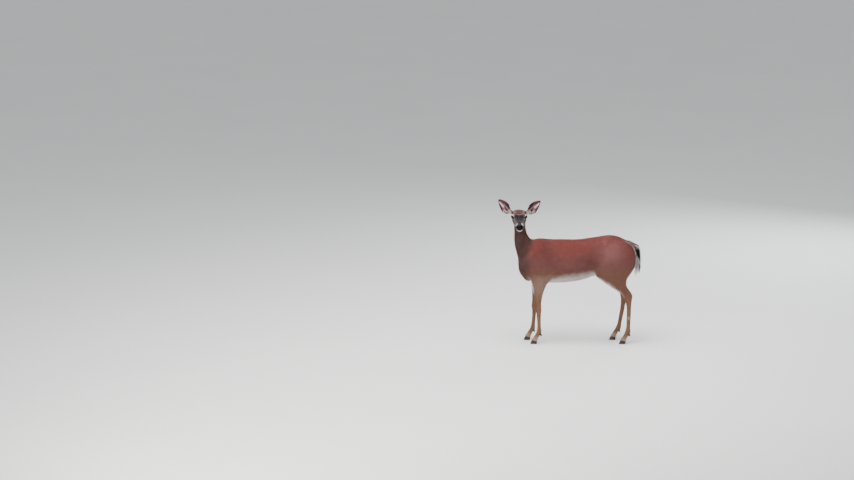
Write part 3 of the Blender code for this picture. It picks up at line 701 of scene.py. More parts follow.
def neck_colour(points, normals, shares, colour):
    """Grey-brown down the neck and the breast, warmer down the nape."""
    _, y, z = points.T
    wave = 0.008 * ripple(points, 0.09, 2.0)
    neck = ramp(region(shares, "neck", "head", "ear"), 0.2, 0.8)
    neck = neck * ramp(z + wave - 0.45 * (y + 0.40), 0.70, 0.82)
    chest = 0.85 * ramp(y + wave, -0.29, -0.385) * ramp(z + wave, 0.50, 0.64) * ramp(z, 0.95, 0.90)
    chest = chest * ramp(region(shares, "neck", "trunk", "foreleg"), 0.3, 0.7)
    tone = mix(NECK, NAPE, ramp(normals[:, 1], -0.1, 0.7)) * (1 + 0.10 * ripple(points, 0.05, 1.0))[:, None]
    return mix(colour, tone, neck + chest - neck * chest)


def head_colour(points, normals):
    """The face: a red crown over a dark brow and bridge, grey cheeks, and a black muzzle edged with white."""
    side, back, up = in_head(points)
    out = np.abs(side)
    level = eye_height(back, up)
    wave = 0.0015 * ripple(points, 0.010)
    upwards = normals @ ABOVE
    over = ramp(upwards, -0.15, 0.25) * ramp(back, 0.178, 0.160)
    half = 0.017 + 0.016 * ramp(level, -0.050, -0.008)
    brow = ramp(level, 0.020, 0.010) * ramp(out + wave, half + 0.008, half - 0.004) * over
    band = 1.3 * bump(level + wave, -0.004, 0.017) * ramp(out + wave, 0.037, 0.026)
    half = 0.009 + 0.018 * ramp(back, 0.03, 0.10)
    bridge = ramp(out + wave, half + 0.005, half - 0.003) * over
    ring = (out / 0.029) ** 2 + ((level - 0.0375) / 0.0215) ** 2 + 90 * wave
    crown = ramp(level, 0.003, 0.009) * ramp(up, 0.030, 0.042)
    # painted shade where the ear meets the head
    ear_root_shade = bump(out + wave, 0.060, 0.0075) * bump(level, 0.034, 0.011)
    arms = ramp(back + wave, 0.0350, 0.0270) * ramp(out, 0.0125, 0.0175) * ramp(out, 0.037, 0.031)
    under_lip = ramp(up, LIP - 0.001, LIP - 0.0045)
    below = ramp(8 * wave - upwards, 0.20, 0.65) * np.maximum(ramp(back, 0.040, 0.065), under_lip)
    below = below * ramp(back + 6 * wave, 0.210, 0.145) * ramp(out, 0.042, 0.028)
    lips, share = distance_to_path(back, up, MOUTH)
    spot = bump(back, 0.047, 0.009) * bump(up, LIP - 0.0095, 0.0055) * ramp(out, 0.012, 0.020)
    slit, _ = distance_to_path(back, up, TEAR_SLIT)
    return layered(
        CHEEK * (1 + 0.07 * ripple(points, 0.022))[:, None],
        (NECK, ramp(back, 0.175, 0.235) * ramp(out, 0.0, 0.030)),
        (BRIDGE, 0.75 * brow),
        (FOREHEAD, 0.95 * np.clip(band, 0, 1) * over),
        (FOREHEAD, bridge * (0.35 + 0.60 * ramp(back, 0.060, 0.028))),
        (CROWN_RIM, 0.9 * crown * ramp(ring, 2.1, 1.4)),
        (CROWN, crown * ramp(ring, 1.25, 0.85)),
        (NAPE, ramp(back, 0.215, 0.235) * ramp(upwards, 0.1, 0.6)),
        # painted shade where the ear meets the head
        (FOREHEAD, 0.75 * ear_root_shade),
        (BRIDGE, 0.55 * ramp(back + wave, 0.050, 0.034) * ramp(up, LIP, LIP + 0.008)),
        (WHITE, arms * (0.10 + 0.60 * ramp(level, -0.082, -0.068))),
        (WHITE, 0.9 * below),
        (WHITE, under_lip * ramp(back, 0.085, 0.055) * (0.55 + 0.45 * ramp(out, 0.003, 0.008))),
        (BLACK, 0.9 * bump(lips, 0, 0.0013) * ramp(share, 1.0, 0.9) * ramp(back, 0.078, 0.070)),
        (BLACK, np.clip(1.4 * spot, 0, 0.95)),
        (FOREHEAD, 0.9 * bump(slit, 0, 0.0035) * ramp(out, 0.020, 0.030)),
    )


def around_eyes(points, colour):
    """A ring round each eye, white above and cream below, and black lids that run out to the tear slit."""
    share, forwards, upwards, off, distance = round_eye(points)
    near = ramp(distance, 0.036, 0.026)
    place = np.arctan2(upwards, forwards)
    above = np.cos(place - math.radians(92))
    ahead = np.cos(place + math.radians(15)).clip(0, 1)
    ring = ramp(share, 1.42, 1.58) * ramp(share, 2.30 + 0.55 * above, 1.95 + 0.55 * above) * near
    dark = ramp(share, 1.66 - 0.12 * above + 1.25 * ahead, 1.26 + 0.55 * ahead) * ramp(off, 1.55, 1.38)
    return layered(
        colour,
        (WHITE, 0.95 * ring * ramp(above, 0.10, 0.62)),
        (CREAM, 0.70 * ring * ramp(above, -0.20, -0.80)),
        (BLACK, 0.97 * near * dark),
    )


def ear_colour(points, normals, shares, colour):
    """Brown backs, dark rims, a mauve hollow with pale streaks and painted shade deep in it, and white hair
    at the root.
    """
    along, across, facing = in_ear(points, normals)
    edge = np.abs(across)
    inside = layered(
        EAR_INSIDE,
        # painted shade deep in the ear's hollow, towards its root
        (EAR_HOLLOW_SHADE, bump(across, -0.25, 0.45) * ramp(along, 0.85, 0.35)),
        (WHITE, 0.85 * bump(across, 0.45, 0.16) * ramp(along, 0.48, 0.64) * ramp(along, 0.94, 0.86)),
        (CREAM, 0.32 * bump(across, 0.12, 0.10) * ramp(along, 0.25, 0.40) * ramp(along, 0.72, 0.58)),
        (WHITE, 0.8 * ramp(across, -0.2, 0.5) * ramp(along, 0.20, 0.10)),
        (BLACK, 0.8 * bump(across, 0.50, 0.22) * bump(along, 0.34, 0.08)),
    )
    rim = ramp(edge, 0.80, 0.97)
    fold = ramp(across, -0.30, -0.46) * ramp(along, 0.06, 0.12) * ramp(along, 0.44, 0.32)
    root = mix(colour, WHITE, 0.85 * ramp(facing, -0.1, 0.3) * ramp(across, 0.0, 0.6))
    tone = layered(
        EAR_BACK_HAIR,
        (FOREHEAD, 0.8 * ramp(along, 0.60, 0.95)),
        (inside, ramp(facing, 0.02, 0.22)),
        (BLACK, 0.85 * ramp(edge, 0.66, 0.92) * ramp(along, 0.44, 0.60)),
        (FOREHEAD, 0.7 * rim * ramp(along, 0.30, 0.45)),
        (WHITE, 0.85 * rim * ramp(along, 0.44, 0.34) * ramp(across, -0.2, 0.5)),
        (BLACK, 0.85 * ramp(along, 0.88, 0.97)),
        (WHITE, 0.80 * fold * ramp(facing, -0.6, -0.2)),
        (root, ramp(along, 0.14, 0.02)),
    )
    return mix(colour, tone, region(shares, "ear"))


def tail_colour(points, normals, shares, colour):
    """Brown above at the root, black down its back, and white at the sides, at the tip and beneath."""
    share = tail_share(points)
    behind = dot(normals, along_tail(share)[2]) + 0.10 * ripple(points, 0.02)
    top = 0.34 + 0.36 * ramp(share, 0.34, 0.10)
    tone = layered(
        TAIL_TOP,
        (BLACK, ramp(share, 0.14, 0.26)),
        (WHITE, ramp(share, 0.66, 0.76)),
        (WHITE, ramp(behind - top, 0.22, 0.0)),
    )
    return mix(colour, tone, ramp(region(shares, "tail"), 0.35, 0.65))


def markings(points, normals, shares):
    """The coat's colour at each place, the same for the skin and for the hair that grows there."""
    place = (points, normals, shares)
    colour = neck_colour(*place, leg_colour(*place, body_colour(*place)))
    face = around_eyes(points, head_colour(points, normals))
    colour = mix(colour, face, ramp(region(shares, "head", "ear"), 0.3, 0.7))
    colour = tail_colour(*place, ear_colour(*place, colour))
    return mix(colour, LEATHER, nose_share(points))


# ---------------------------------------------------------------- how the hair lies and how long it is
HAIR = {
    # length, width and spacing in millimetres, and the tips' height over the skin as a share of the length
    "trunk": (19.0, 1.75, 2.75, 0.15),
    "neck": (17.0, 1.60, 2.35, 0.16),
    "head": (9.0, 1.25, 2.0, 0.16),
    "tail": (16.0, 1.6, 2.4, 0.30),
    "ear": (6.5, 1.1, 1.85, 0.12),
    "foreleg": (14.0, 1.65, 2.6, 0.15),
    "hindleg": (17.0, 1.70, 2.85, 0.15),
}


def lie(points, normals, shares):
    """The direction in which the coat lies: nose to tail, down the legs, and out along the ears and tail."""
    x, y, z = points.T
    side, back, up = in_head(points)
    out = np.sign(x - MID_X)
    fall = 0.16 + 0.60 * ramp(z, 0.80, 0.58) + 1.8 * ramp(y, -0.30, -0.40) + 1.6 * ramp(y, 0.37, 0.47)
    face = -AHEAD + (side / 0.05)[:, None] * 0.30 * SIDEWAYS
    face = face - (0.45 * ramp(up, 0.030, -0.020) * ramp(back, 0.05, 0.14))[:, None] * ABOVE
    along, across, _ = in_ear(points, normals)
    _, axis, _, over = by_side(points, ear_frame)
    turn = np.cos(np.pi * np.clip(0.10 + 0.82 * along, 0.02, 0.98))
    ways = {
        "trunk": rows(0.10 * out, 1.0, -fall * ramp(-normals[:, 2], 0.9, 0.4)),
        "neck": rows(0.12 * out, 0.25 + 0.25 * ramp(normals[:, 1], -0.2, 0.6), -1.0),
        "head": face,
        "tail": along_tail(tail_share(points))[1] + rows(0.35 * out, 0.0, 0.0),
        "ear": axis + ((0.45 * turn + 0.05) * np.clip(across, -1, 1))[:, None] * over,
        "foreleg": rows(0.05 * out, 0.10 + 0.45 * ramp(z, 0.45, 0.62), -1.0),
        "hindleg": rows(0.05 * out, 0.05 + 0.35 * bump(z, 0.45, 0.07) + 0.75 * ramp(z, 0.55, 0.78), -1.0),
    }
    way = sum(region(shares, name)[:, None] * unit(ways[name]) for name in REGIONS)
    swirl = 0.16 * ripple(points, 0.07, 0.5)[:, None] * np.cross(normals, unit(way))
    way = unit(way) + swirl
    return unit(way - dot(way, normals)[:, None] * normals)


def hair_sizes(points, normals, shares):
    """The coat's length, width and spacing in metres, its tips' height as a share of its length, and where
    none grows."""
    x, y, z = points.T
    _, back, up = in_head(points)
    trunk, head, ear = (region(shares, name) for name in ("trunk", "head", "ear"))
    legs = region(shares, "foreleg", "hindleg")
    _, across, facing = in_ear(points, normals)
    lids, _, _, off, distance = round_eye(points)
    fetlock = bump(z, 0.098, 0.022) * ramp(normals[:, 1], 0.0, 0.6)
    behind = ramp(normals[:, 1], 0.25, 0.55) * ramp(np.abs(x - MID_X), 0.085, 0.06) * ramp(z, 0.60, 0.66)
    inner = ramp(-np.sign(x - MID_X) * normals[:, 0], 0.3, 0.7) * legs * ramp(z, 0.42, 0.52)
    longer = 0.45 * ramp(-normals[:, 2], 0.35, 0.75) * trunk
    longer = longer + 0.75 * behind * ramp(y, 0.36, 0.42) + 0.35 * inner
    changes = (
        # where, and what is added there to the length, the width and the spacing, as shares of them
        (legs * ramp(z, 0.50, 0.24), -0.52, -0.35, -0.27),
        (legs * (0.25 * ramp(z, 0.10, 0.05) + 0.9 * fetlock), 1, 0, 0),
        (head * ramp(back, 0.19, 0.035), -0.58, -0.42, -0.42),
        (ramp(distance, 0.034, 0.022), -0.45, -0.35, -0.35),
        (np.clip(longer, 0, 0.8), 1, 0, 0),
        (trunk * ramp(y, -0.28, -0.40), 0.25, 0, 0),
        (ear * ramp(facing, 0.05, 0.25), -0.25, 0, 0.35),
        (ear * ramp(np.abs(across), 0.70, 0.95), -0.45, 0, 0),
    )
    *sizes, height = (shares @ np.array([HAIR[name] for name in REGIONS])).T
    for where, *more in changes:
        sizes = [size * (1 + added * where) for size, added in zip(sizes, more)]
    gap, _ = distance_to_path(back, up, MOUTH)
    mouth = ramp(gap, 0.0022, 0.0012) * ramp(back, 0.070, 0.064) * head
    open_eye = ramp(lids, 1.20, 1.10) * (distance < 0.021) * (off < 1.4)
    bare = np.clip(np.maximum.reduce([open_eye, nose_share(points), mouth]), 0, 1)
    return *(size / 1000 for size in sizes), height, bare


# ---------------------------------------------------------------- tufts
SHORT = ((0.36, 1.0),)  # how far along a hair its rings lie, and how full it is there
LONG = ((0.22, 0.85), (0.60, 0.80))
RING = ((-1.0, -0.10), (1.0, -0.10), (0.0, 0.42))  # its corners beside the hair and above it, in half widths
ROOT_DEPTH = 0.0007  # in the skin
TAIL_HAIRS = 4400
EAR_HAIRS = 800  # in each ear
LASHES = 26  # over each eye
WHISKERS = 36


def skin_triangles(mesh):
    """The skin's triangles as vertex numbers, and the unwrap at their corners."""
    mesh.calc_loop_triangles()
    loops = read(mesh.loop_triangles, "loops", 3, np.int32)
    unwrap = read(mesh.uv_layers["OFBake"].data, "uv", 2)
    return read(mesh.loop_triangles, "vertices", 3, np.int32), unwrap[loops]


def scatter(points, normals, shares, triangles, unwrap, density):
    """Places spread evenly over the skin, with so many to the square metre at each of its vertices."""
    first, second, third = (points[triangles[:, i]] for i in range(3))
    areas = np.linalg.norm(np.cross(second - first, third - first), axis=1) / 2
    wanted = areas * density[triangles].mean(axis=1)
    counts = np.floor(wanted + random.random(len(wanted))).astype(int)
    chosen = np.repeat(np.arange(len(triangles)), counts)
    root = np.sqrt(random.random(len(chosen)))
    across = random.random(len(chosen))
    weights = rows(1 - root, root * (1 - across), root * across)[:, :, None]
    corners = triangles[chosen]
    return {
        "place": (points[corners] * weights).sum(axis=1),
        "normal": unit((normals[corners] * weights).sum(axis=1)),
        "shares": (shares[corners] * weights).sum(axis=1),
        "uv": (unwrap[chosen] * weights).sum(axis=1),
    }


def picked(roots, which):
    return {name: values[which] for name, values in roots.items()}


def tuft_mesh(name, roots, rings):
    """Closed, thin, tapered tufts: a point in the skin, rings of three, and a tip."""
    normal, way = roots["normal"], roots["way"]
    beside = np.cross(normal, way)
    bend = roots.get("bend", 0.0)

    def middle(share):
        rise = roots["height"] * (1 - (1 - share) ** 2) - ROOT_DEPTH * (1 - share) ** 4
        flat = roots["place"] + way * (roots["length"] * share)[:, None]
        return flat + normal * rise[:, None] + bend * share * share

    columns = [middle(0.0)]
    marks = [(0.0, 0.0)]
    for level, full in rings:
        half = (roots["width"] * full / 2)[:, None]
        for offset, lift in RING:
            columns.append(middle(level) + beside * half * offset + normal * half * lift)
            marks.append((offset, level))
    columns.append(middle(1.0))
    marks.append((0.0, 1.0))
    across, along = np.array(marks).T
    faces = [(0, 2, 1), (0, 3, 2), (0, 1, 3)]
    last = len(columns) - 4
    for low in range(1, last, 3):
        for i in range(3):
            j = (i + 1) % 3
            faces += [(low + i, low + j, low + 3 + j), (low + i, low + 3 + j, low + 3 + i)]
    faces += [(last + 3, last, last + 1), (last + 3, last + 1, last + 2), (last + 3, last + 2, last)]
    count = len(normal)
    corners = (np.arange(count)[:, None, None] * len(columns) + np.array(faces)).reshape(-1)
    mesh = bpy.data.meshes.new(name)
    mesh.vertices.add(count * len(columns))
    mesh.vertices.foreach_set("co", np.stack(columns, axis=1).ravel())
    mesh.loops.add(len(corners))
    mesh.loops.foreach_set("vertex_index", corners.astype(np.int32))
    mesh.polygons.add(len(corners) // 3)
    mesh.polygons.foreach_set("loop_start", np.arange(0, len(corners), 3, dtype=np.int32))
    mesh.update(calc_edges=True)
    mesh.shade_smooth()
    # painted shade: each tuft is darker towards its root, deep in the coat, and paler at its tip
    shade = 0.76 + 0.26 * np.clip(along / 0.4, 0, 1) + 0.08 * along  # darker in the depth, paler at the tip
    paint(mesh, (roots["colour"][:, None, :] * shade[:, None]).reshape(-1, 3))
    number = random.random(count)[:, None]
    give(mesh, "strand", rows(across * 1.2 + 40 * number, along * 0.8, 60 * number))
    patch = rows(across * 0.0015, (along - 0.5) * 0.003)
    unwrap = (roots["uv"][:, None, :] + patch).reshape(-1, 2)
    mesh.uv_layers.new(name="OFBake").data.foreach_set("uv", unwrap[corners].ravel())
    return object_of(name, mesh)


def strewn(count, amount, most=2.0):
    """A random amount for each hair, either side of 0."""
    return amount * random.standard_normal(count).clip(-most, most)


def coat_roots(mesh, flesh):
    """All the coat's tufts over the skin, with their sizes, lie and colour."""
    points, normals = coordinates(mesh), vertex_normals(mesh)
    shares = region_shares(points, Net(mesh), flesh)
    _, _, spacing, _, bare = hair_sizes(points, normals, shares)
    roots = scatter(points, normals, shares, *skin_triangles(mesh), (1 - bare) / spacing**2)
    place = (roots["place"], roots["normal"], roots["shares"])
    count = len(roots["place"])
    length, width, _, height, bare = hair_sizes(*place)
    roots["uneven"] = 1 + strewn(count, 0.22)
    way = lie(*place)
    turn = strewn(count, math.radians(8), 2.2)[:, None]
    roots["way"] = way * np.cos(turn) + np.cross(roots["normal"], way) * np.sin(turn)
    roots["length"] = length * roots["uneven"]
    roots["width"] = width * (1 + strewn(count, 0.20))
    roots["height"] = length * height * (1 + strewn(count, 0.30))
    roots["colour"] = markings(*place) * (1 + strewn(count, 0.09, 2.2))[:, None]
    return picked(roots, bare < 0.5)


PIECES = (
    "coat_head", "coat_ears", "coat_neck", "coat_chest", "coat_barrel_left", "coat_barrel_right", "coat_rump",
    "coat_foreleg_left", "coat_foreleg_right", "coat_hindleg_left", "coat_hindleg_right", "coat_tail",
)


def piece_names(roots):
    """The name of the piece of the coat that each tuft belongs to."""
    x, y, _ = roots["place"].T
    kind = np.array(REGIONS)[roots["shares"].argmax(axis=1)]
    of_trunk = np.select([y < -0.17, y < 0.22], ["chest", "barrel"], "rump")
    part = np.select([kind == "trunk", kind == "ear"], [of_trunk, "ears"], kind)
    paired = np.isin(part, ("barrel", "foreleg", "hindleg"))
    side = np.where(x > MID_X, "_left", "_right")
    return np.char.add(np.char.add("coat_", part), np.where(paired, side, ""))


def long_tail_hair(short):
    """The tail's long hair, which spreads to its sides and falls past the end of its flesh."""
    roots = picked(short, random.integers(0, len(short["place"]), TAIL_HAIRS))
    share = tail_share(roots["place"])
    _, direction, outside, _, _ = along_tail(share)
    normal = roots["normal"]
    sideways = np.abs(normal[:, 0])
    inner = ramp(-dot(normal, outside), -0.2, 0.6)
    long = 0.048 + 0.014 * sideways + 0.012 * inner
    roots["length"] = long * (1 - 0.35 * (1 - sideways) * ramp(share, 0.30, 0.0)) * roots["uneven"]
    roots["width"] = 0.0021 * roots["uneven"]
    roots["height"] = 0.10 * roots["length"]
    spread = 0.10 + (0.40 * sideways + 0.22 * inner) * ramp(share, 0.02, 0.25)
    roots["way"] = unit(direction + spread[:, None] * normal)
    roots["bend"] = -normal * ((0.16 - 0.08 * inner) * roots["length"])[:, None] + direction * 0.006
    return roots


def long_ear_hair(short):
    """White hair that grows from an ear's root and edges across its hollow."""
    along, across, facing = in_ear(short["place"], short["normal"])
    near_root = (along > 0.0) & (along < 0.20)
    near_edge = (across > 0.55) & (across < 0.95) & (along > 0.1) & (along < 0.42)
    grows = (facing > 0.1) & (near_root | near_edge)
    left = short["place"][:, 1] > NOSE[1]
    chosen = [random.choice(np.flatnonzero(grows & mine), EAR_HAIRS) for mine in (left, ~left)]
    roots = picked(short, np.concatenate(chosen))
    along, across, _ = in_ear(roots["place"], roots["normal"])
    _, axis, _, over = by_side(roots["place"], ear_frame)
    sway = -0.35 * np.clip(across, -1, 1)
    roots["way"] = unit(axis + sway[:, None] * over + 0.25 * roots["normal"])
    roots["length"] = 0.016 * (1.2 - 0.75 * np.clip(along, 0, 1)) * roots["uneven"]
    roots["width"] = np.full(2 * EAR_HAIRS, 0.0008)
    roots["height"] = 0.16 * roots["length"]
    roots["colour"] = mix(roots["colour"], WHITE, 0.72)
    return roots


def bristles(place, normal, way, length, width, colour, unwrap):
    """Roots for stiff single hairs: lashes and whiskers."""
    count = len(place)
    return {
        "place": place, "normal": normal, "way": way, "length": length, "width": np.full(count, width),
        "height": 0.12 * length, "colour": np.tile(colour, (count, 1)), "uv": unwrap,
    }


def lashes(side, short):
    """Long dark lashes along the edge of the upper lid."""
    centre, aim, front, lift = eye_frame(side)
    forwards = np.radians(np.linspace(-46, 34, LASHES))
    upwards = 1.02 * EYE_HALF_HEIGHT[1] * (1 - (np.abs(forwards) / EYE_HALF_LENGTH) ** LID_CURVE)
    flat = np.cos(forwards)[:, None] * aim + np.sin(forwards)[:, None] * front
    outwards = np.cos(upwards)[:, None] * flat + np.sin(upwards)[:, None] * lift
    root = centre + outwards * (EYE_RADIUS + LID_EDGE)
    ways = unit(outwards + 0.15 * lift - 0.25 * front)
    normal = unit(np.cross(np.cross(ways, lift), ways))
    long = 0.0065 * (1 + 0.2 * random.random(LASHES)) * (0.6 + 0.4 * np.cos(forwards * 1.4))
    unwrap = short["uv"][np.linalg.norm(short["place"] - centre, axis=1).argmin()]
    return bristles(root, normal, ways, long, 0.00045, BLACK, np.tile(unwrap, (LASHES, 1)))


def whiskers(short):
    """A few long hairs on the lips and the chin."""
    side, back, up = in_head(short["place"])
    muzzle = (back > 0.016) & (back < 0.062) & (up < 0.004) & (np.abs(side) > 0.008)
    roots = picked(short, random.choice(np.flatnonzero(muzzle), WHISKERS, replace=False))
    apart = 0.12 * random.standard_normal((WHISKERS, 3))
    ways = unit(roots["normal"] * 0.9 + 0.35 * AHEAD - 0.25 * ABOVE + apart)
    normal = unit(np.cross(np.cross(ways, ABOVE), ways))
    long = 0.010 + 0.010 * random.random(WHISKERS)
    return bristles(roots["place"], normal, ways, long, 0.0003, FOREHEAD, roots["uv"])


# ---------------------------------------------------------------- materials
class Nodes:
    """Makes and joins the shader nodes of a material or a world."""

    def __init__(self, owner):
        owner.use_nodes = True
        self.nodes = owner.node_tree.nodes
        self.links = owner.node_tree.links

    def node(self, kind, inputs=(), **settings):
        made = self.nodes.new("ShaderNode" + kind)
        for setting, value in settings.items():
            setattr(made, setting, value)
        for name, value in dict(inputs).items():
            if isinstance(value, bpy.types.NodeSocket):
                self.links.new(value, made.inputs[name])
            else:
                made.inputs[name].default_value = value
        return made

    def blended(self, amount, first, second):
        """Two colours mixed by a number."""
        return self.node("Mix", {0: amount, 6: first, 7: second}, data_type="RGBA").outputs[2]

    def number(self, operation, first, second):
        return self.node("Math", {0: first, 1: second}, operation=operation).outputs["Value"]


class Shader(Nodes):
    """A node material around one Principled surface."""

    def __init__(self, name, **settings):
        self.material = bpy.data.materials.new(name)
        super().__init__(self.material)
        self.surface = self.nodes["Principled BSDF"]
        for setting, value in settings.items():
            self.surface.inputs[setting.replace("_", " ")].default_value = value

    def place(self):
        return self.node("TexCoord").outputs["Object"]

    def attribute(self, name, output="Color"):
        return self.node("Attribute", attribute_name=name).outputs[output]

    def noise(self, place, scale, detail=3.0, roughness=0.55):
        inputs = {"Vector": place, "Scale": scale, "Detail": detail, "Roughness": roughness}
        return self.node("TexNoise", inputs).outputs["Fac"]

    def ranged(self, value, low, high, start=0.3, end=0.7):
        inputs = {"Value": value, "From Min": start, "From Max": end, "To Min": low, "To Max": high}
        return self.node("MapRange", inputs).outputs["Result"]

    def scaled(self, colour, amount):
        """A colour made lighter or darker by a number."""
        return self.node("VectorMath", {0: colour, "Scale": amount}, operation="SCALE").outputs["Vector"]

    def finish(self, colour, roughness=None, height=None, distance=0.001, strength=0.5):
        self.links.new(colour, self.surface.inputs["Base Color"])
        if roughness is not None:
            self.links.new(roughness, self.surface.inputs["Roughness"])
        if height is not None:
            relief = self.node("Bump", {"Height": height, "Strength": strength, "Distance": distance})
            self.links.new(relief.outputs["Normal"], self.surface.inputs["Normal"])
        return self.material


def hair_material():
    """Tufts: the markings, split into fine strands along each tuft."""
    shader = Shader("deer_hair", Sheen_Weight=0.05, Sheen_Roughness=0.45, Specular_IOR_Level=0.32)
    fine = shader.noise(shader.attribute("strand", "Vector"), 2.6, 4.0)
    colour = shader.scaled(shader.attribute("coat"), shader.ranged(fine, 0.74, 1.26))
    colour = shader.scaled(colour, shader.ranged(shader.noise(shader.place(), 28.0), 0.93, 1.07))
    return shader.finish(colour, shader.ranged(fine, 0.62, 0.50), fine, 0.0004, 0.35)


def skin_material():
    """Short flat hair and skin: the markings with a fine, close grain."""
    shader = Shader("deer_skin", Specular_IOR_Level=0.25, Sheen_Weight=0.08, Sheen_Roughness=0.5)
    place = shader.place()
    grain = shader.noise(place, 620.0, 4.0)
    colour = shader.scaled(shader.attribute("coat"), shader.ranged(grain, 0.62, 0.96))
    colour = shader.scaled(colour, shader.ranged(shader.noise(place, 170.0), 0.92, 1.06))
    return shader.finish(colour, shader.ranged(grain, 0.78, 0.60), grain, 0.0006)


def leather_material():
    """The nose: black leather of small round cells, a little wet."""
    shader = Shader("nose_leather", Specular_IOR_Level=0.22, Coat_Weight=0.06, Coat_Roughness=0.30)
    place = shader.place()
    cells = shader.node("TexVoronoi", {"Vector": place, "Scale": 620.0}, feature="SMOOTH_F1")
    tone = shader.noise(place, 90.0, 4.0)
    dark, pale = ((*LEATHER * share, 1) for share in (0.45, 1.3))
    colour = shader.blended(shader.ranged(tone, 0.0, 1.0, 0.35, 0.75), dark, pale)
    roughness = shader.ranged(tone, 0.42, 0.60)
    height = shader.number("MULTIPLY", cells.outputs["Distance"], -1.0)
    return shader.finish(colour, roughness, height, 0.0007)


def eye_material():
    """A dark brown iris of fine rays round a wide pupil, under a clear, wet front."""
    shader = Shader(
        "deer_eye", Coat_Weight=0.55, Coat_Roughness=0.03, Roughness=0.30, Specular_IOR_Level=0.12
    )
    gaze = shader.node("SeparateXYZ", {"Vector": shader.attribute("gaze", "Vector")}).outputs
    along = shader.number("MULTIPLY", gaze["X"], 2.1)
    high = shader.number("MULTIPLY", gaze["Y"], 3.6)
    oval = shader.node("CombineXYZ", {"X": along, "Y": high}).outputs["Vector"]
    pupil = shader.node("VectorMath", {0: oval}, operation="LENGTH").outputs["Value"]
    angle = shader.number("ARCTAN2", gaze["Y"], gaze["X"])
    ray = shader.node("CombineXYZ", {"X": angle, "Y": gaze["Z"]}).outputs["Vector"]
    rays = shader.ranged(shader.noise(ray, 14.0, 4.0), 0.0, 1.0)
    brown = shader.blended(rays, (0.004, 0.002, 0.0015, 1), (0.020, 0.009, 0.005, 1))
    brown = shader.scaled(brown, shader.ranged(gaze["Z"], 1.0, 0.12, 0.62, 0.84))
    round_pupil = shader.ranged(pupil, 0.0, 1.0, 0.92, 1.04)
    return shader.finish(shader.blended(round_pupil, (0.002, 0.002, 0.003, 1), brown))


def horn_material():
    """Hooves: dark horn with growth rings and pale scuffs near the ground."""
    shader = Shader("hoof_horn", Specular_IOR_Level=0.45)
    place = shader.place()
    height = shader.node("SeparateXYZ", {"Vector": place}).outputs["Z"]
    stretch = shader.node("Mapping", {"Vector": place, "Scale": (1.0, 1.0, 7.0)}).outputs["Vector"]
    rings = shader.noise(stretch, 42.0)
    scuffs = shader.noise(place, 240.0, 5.0, 0.7)
    base = shader.blended(shader.ranged(rings, 0.0, 1.0), (0.012, 0.009, 0.008, 1), (0.052, 0.038, 0.030, 1))
    worn = shader.number("MULTIPLY", shader.ranged(height, 1.0, 0.0, 0.0, 0.012), scuffs)
    colour = shader.blended(worn, base, (0.16, 0.13, 0.105, 1))
    return shader.finish(colour, shader.ranged(scuffs, 0.36, 0.58), rings, 0.0012)


def floor_material():
    shader = Shader("studio_floor", Specular_IOR_Level=0.2, Roughness=0.8)
    tone = shader.noise(shader.place(), 0.9)
    return shader.finish(shader.blended(tone, (0.60, 0.605, 0.60, 1), (0.64, 0.64, 0.635, 1)))


# ---------------------------------------------------------------- eyes and hooves
EYEBALL_SEGMENTS = 56
EYEBALL_RINGS = 36
HORN_EDGE = math.radians(48)  # a claw's sharper edges stay crisp
HORN_CREASE = 0.72
HORN_ROUNDS = 3


def make_eye(word):
    """A smooth eyeball with a fuller clear front, marked for its iris and pupil."""
    centre, aim, front, lift = eye_frame(SIDES[word])
    ball = bmesh.new()
    bmesh.ops.create_uvsphere(ball, u_segments=EYEBALL_SEGMENTS, v_segments=EYEBALL_RINGS, radius=1.0)
    mesh = bpy.data.meshes.new(f"eyeball_{word}")
    ball.to_mesh(mesh)
    ball.free()
    outwards = unit(coordinates(mesh)) @ np.stack((front, lift, aim))
    off = np.arccos(np.clip(outwards @ aim, -1, 1))
    full = EYE_RADIUS + 0.0007 * ramp(off, math.radians(52), math.radians(30))
    move_to(mesh, centre + outwards * full[:, None])
    rim = np.sin(off) * np.where(off > math.pi / 2, 2, 1)
    give(mesh, "gaze", rows(outwards @ front, outwards @ lift, rim))
    mesh.shade_smooth()
    return object_of(f"eyeball_{word}", mesh)


def make_hoof(node, skin_points):
    """One claw or dewclaw, rounded from its solid; a claw keeps its flat ground face."""
    solid = welded(node)
    crease = solid.edges.layers.float.new("crease_edge")
    small = node.startswith("dewclaw")
    for edge in solid.edges:
        if not small and len(edge.link_faces) == 2 and edge.calc_face_angle() > HORN_EDGE:
            edge[crease] = HORN_CREASE
    bmesh.ops.join_triangles(solid, faces=solid.faces, angle_face_threshold=0.5, angle_shape_threshold=1.2)
    mesh = bpy.data.meshes.new("horn_" + node)
    solid.to_mesh(mesh)
    solid.free()
    made = object_of("horn_" + node, mesh)
    smooth = made.modifiers.new("smooth", "SUBSURF")
    smooth.levels = HORN_ROUNDS
    smooth.render_levels = HORN_ROUNDS
    applied(made)
    if small:
        nestle(made.data, skin_points)
    made.data.shade_smooth()
    return made


def nestle(mesh, skin_points):
    """A dewclaw brought back to its solid's fullness after rounding, and set into the hair of the fetlock."""
    place = coordinates(mesh)
    middle = place.mean(axis=0)
    nearest = skin_points[np.linalg.norm(skin_points - middle, axis=1).argmin()]
    move_to(mesh, middle + (place - middle) * 1.14 + unit(nearest - middle) * 0.003)


# ---------------------------------------------------------------- the whole doe
def unwrapped(skin):
    """An unwrap of the skin by its own shape."""
    skin.data.uv_layers.new(name="OFBake")
    bpy.ops.object.select_all(action="DESELECT")
    skin.select_set(True)
    bpy.context.view_layer.objects.active = skin
    bpy.ops.object.mode_set(mode="EDIT")
    bpy.ops.mesh.select_all(action="SELECT")
    bpy.ops.uv.smart_project(angle_limit=1.15, island_margin=0.002)
    bpy.ops.object.mode_set(mode="OBJECT")


def grow(name, roots, rings):
    """One piece of the coat, which rides with the skin."""
    piece = tuft_mesh(name, roots, rings)
    piece.data.materials.append(hair)
    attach(piece, "root")


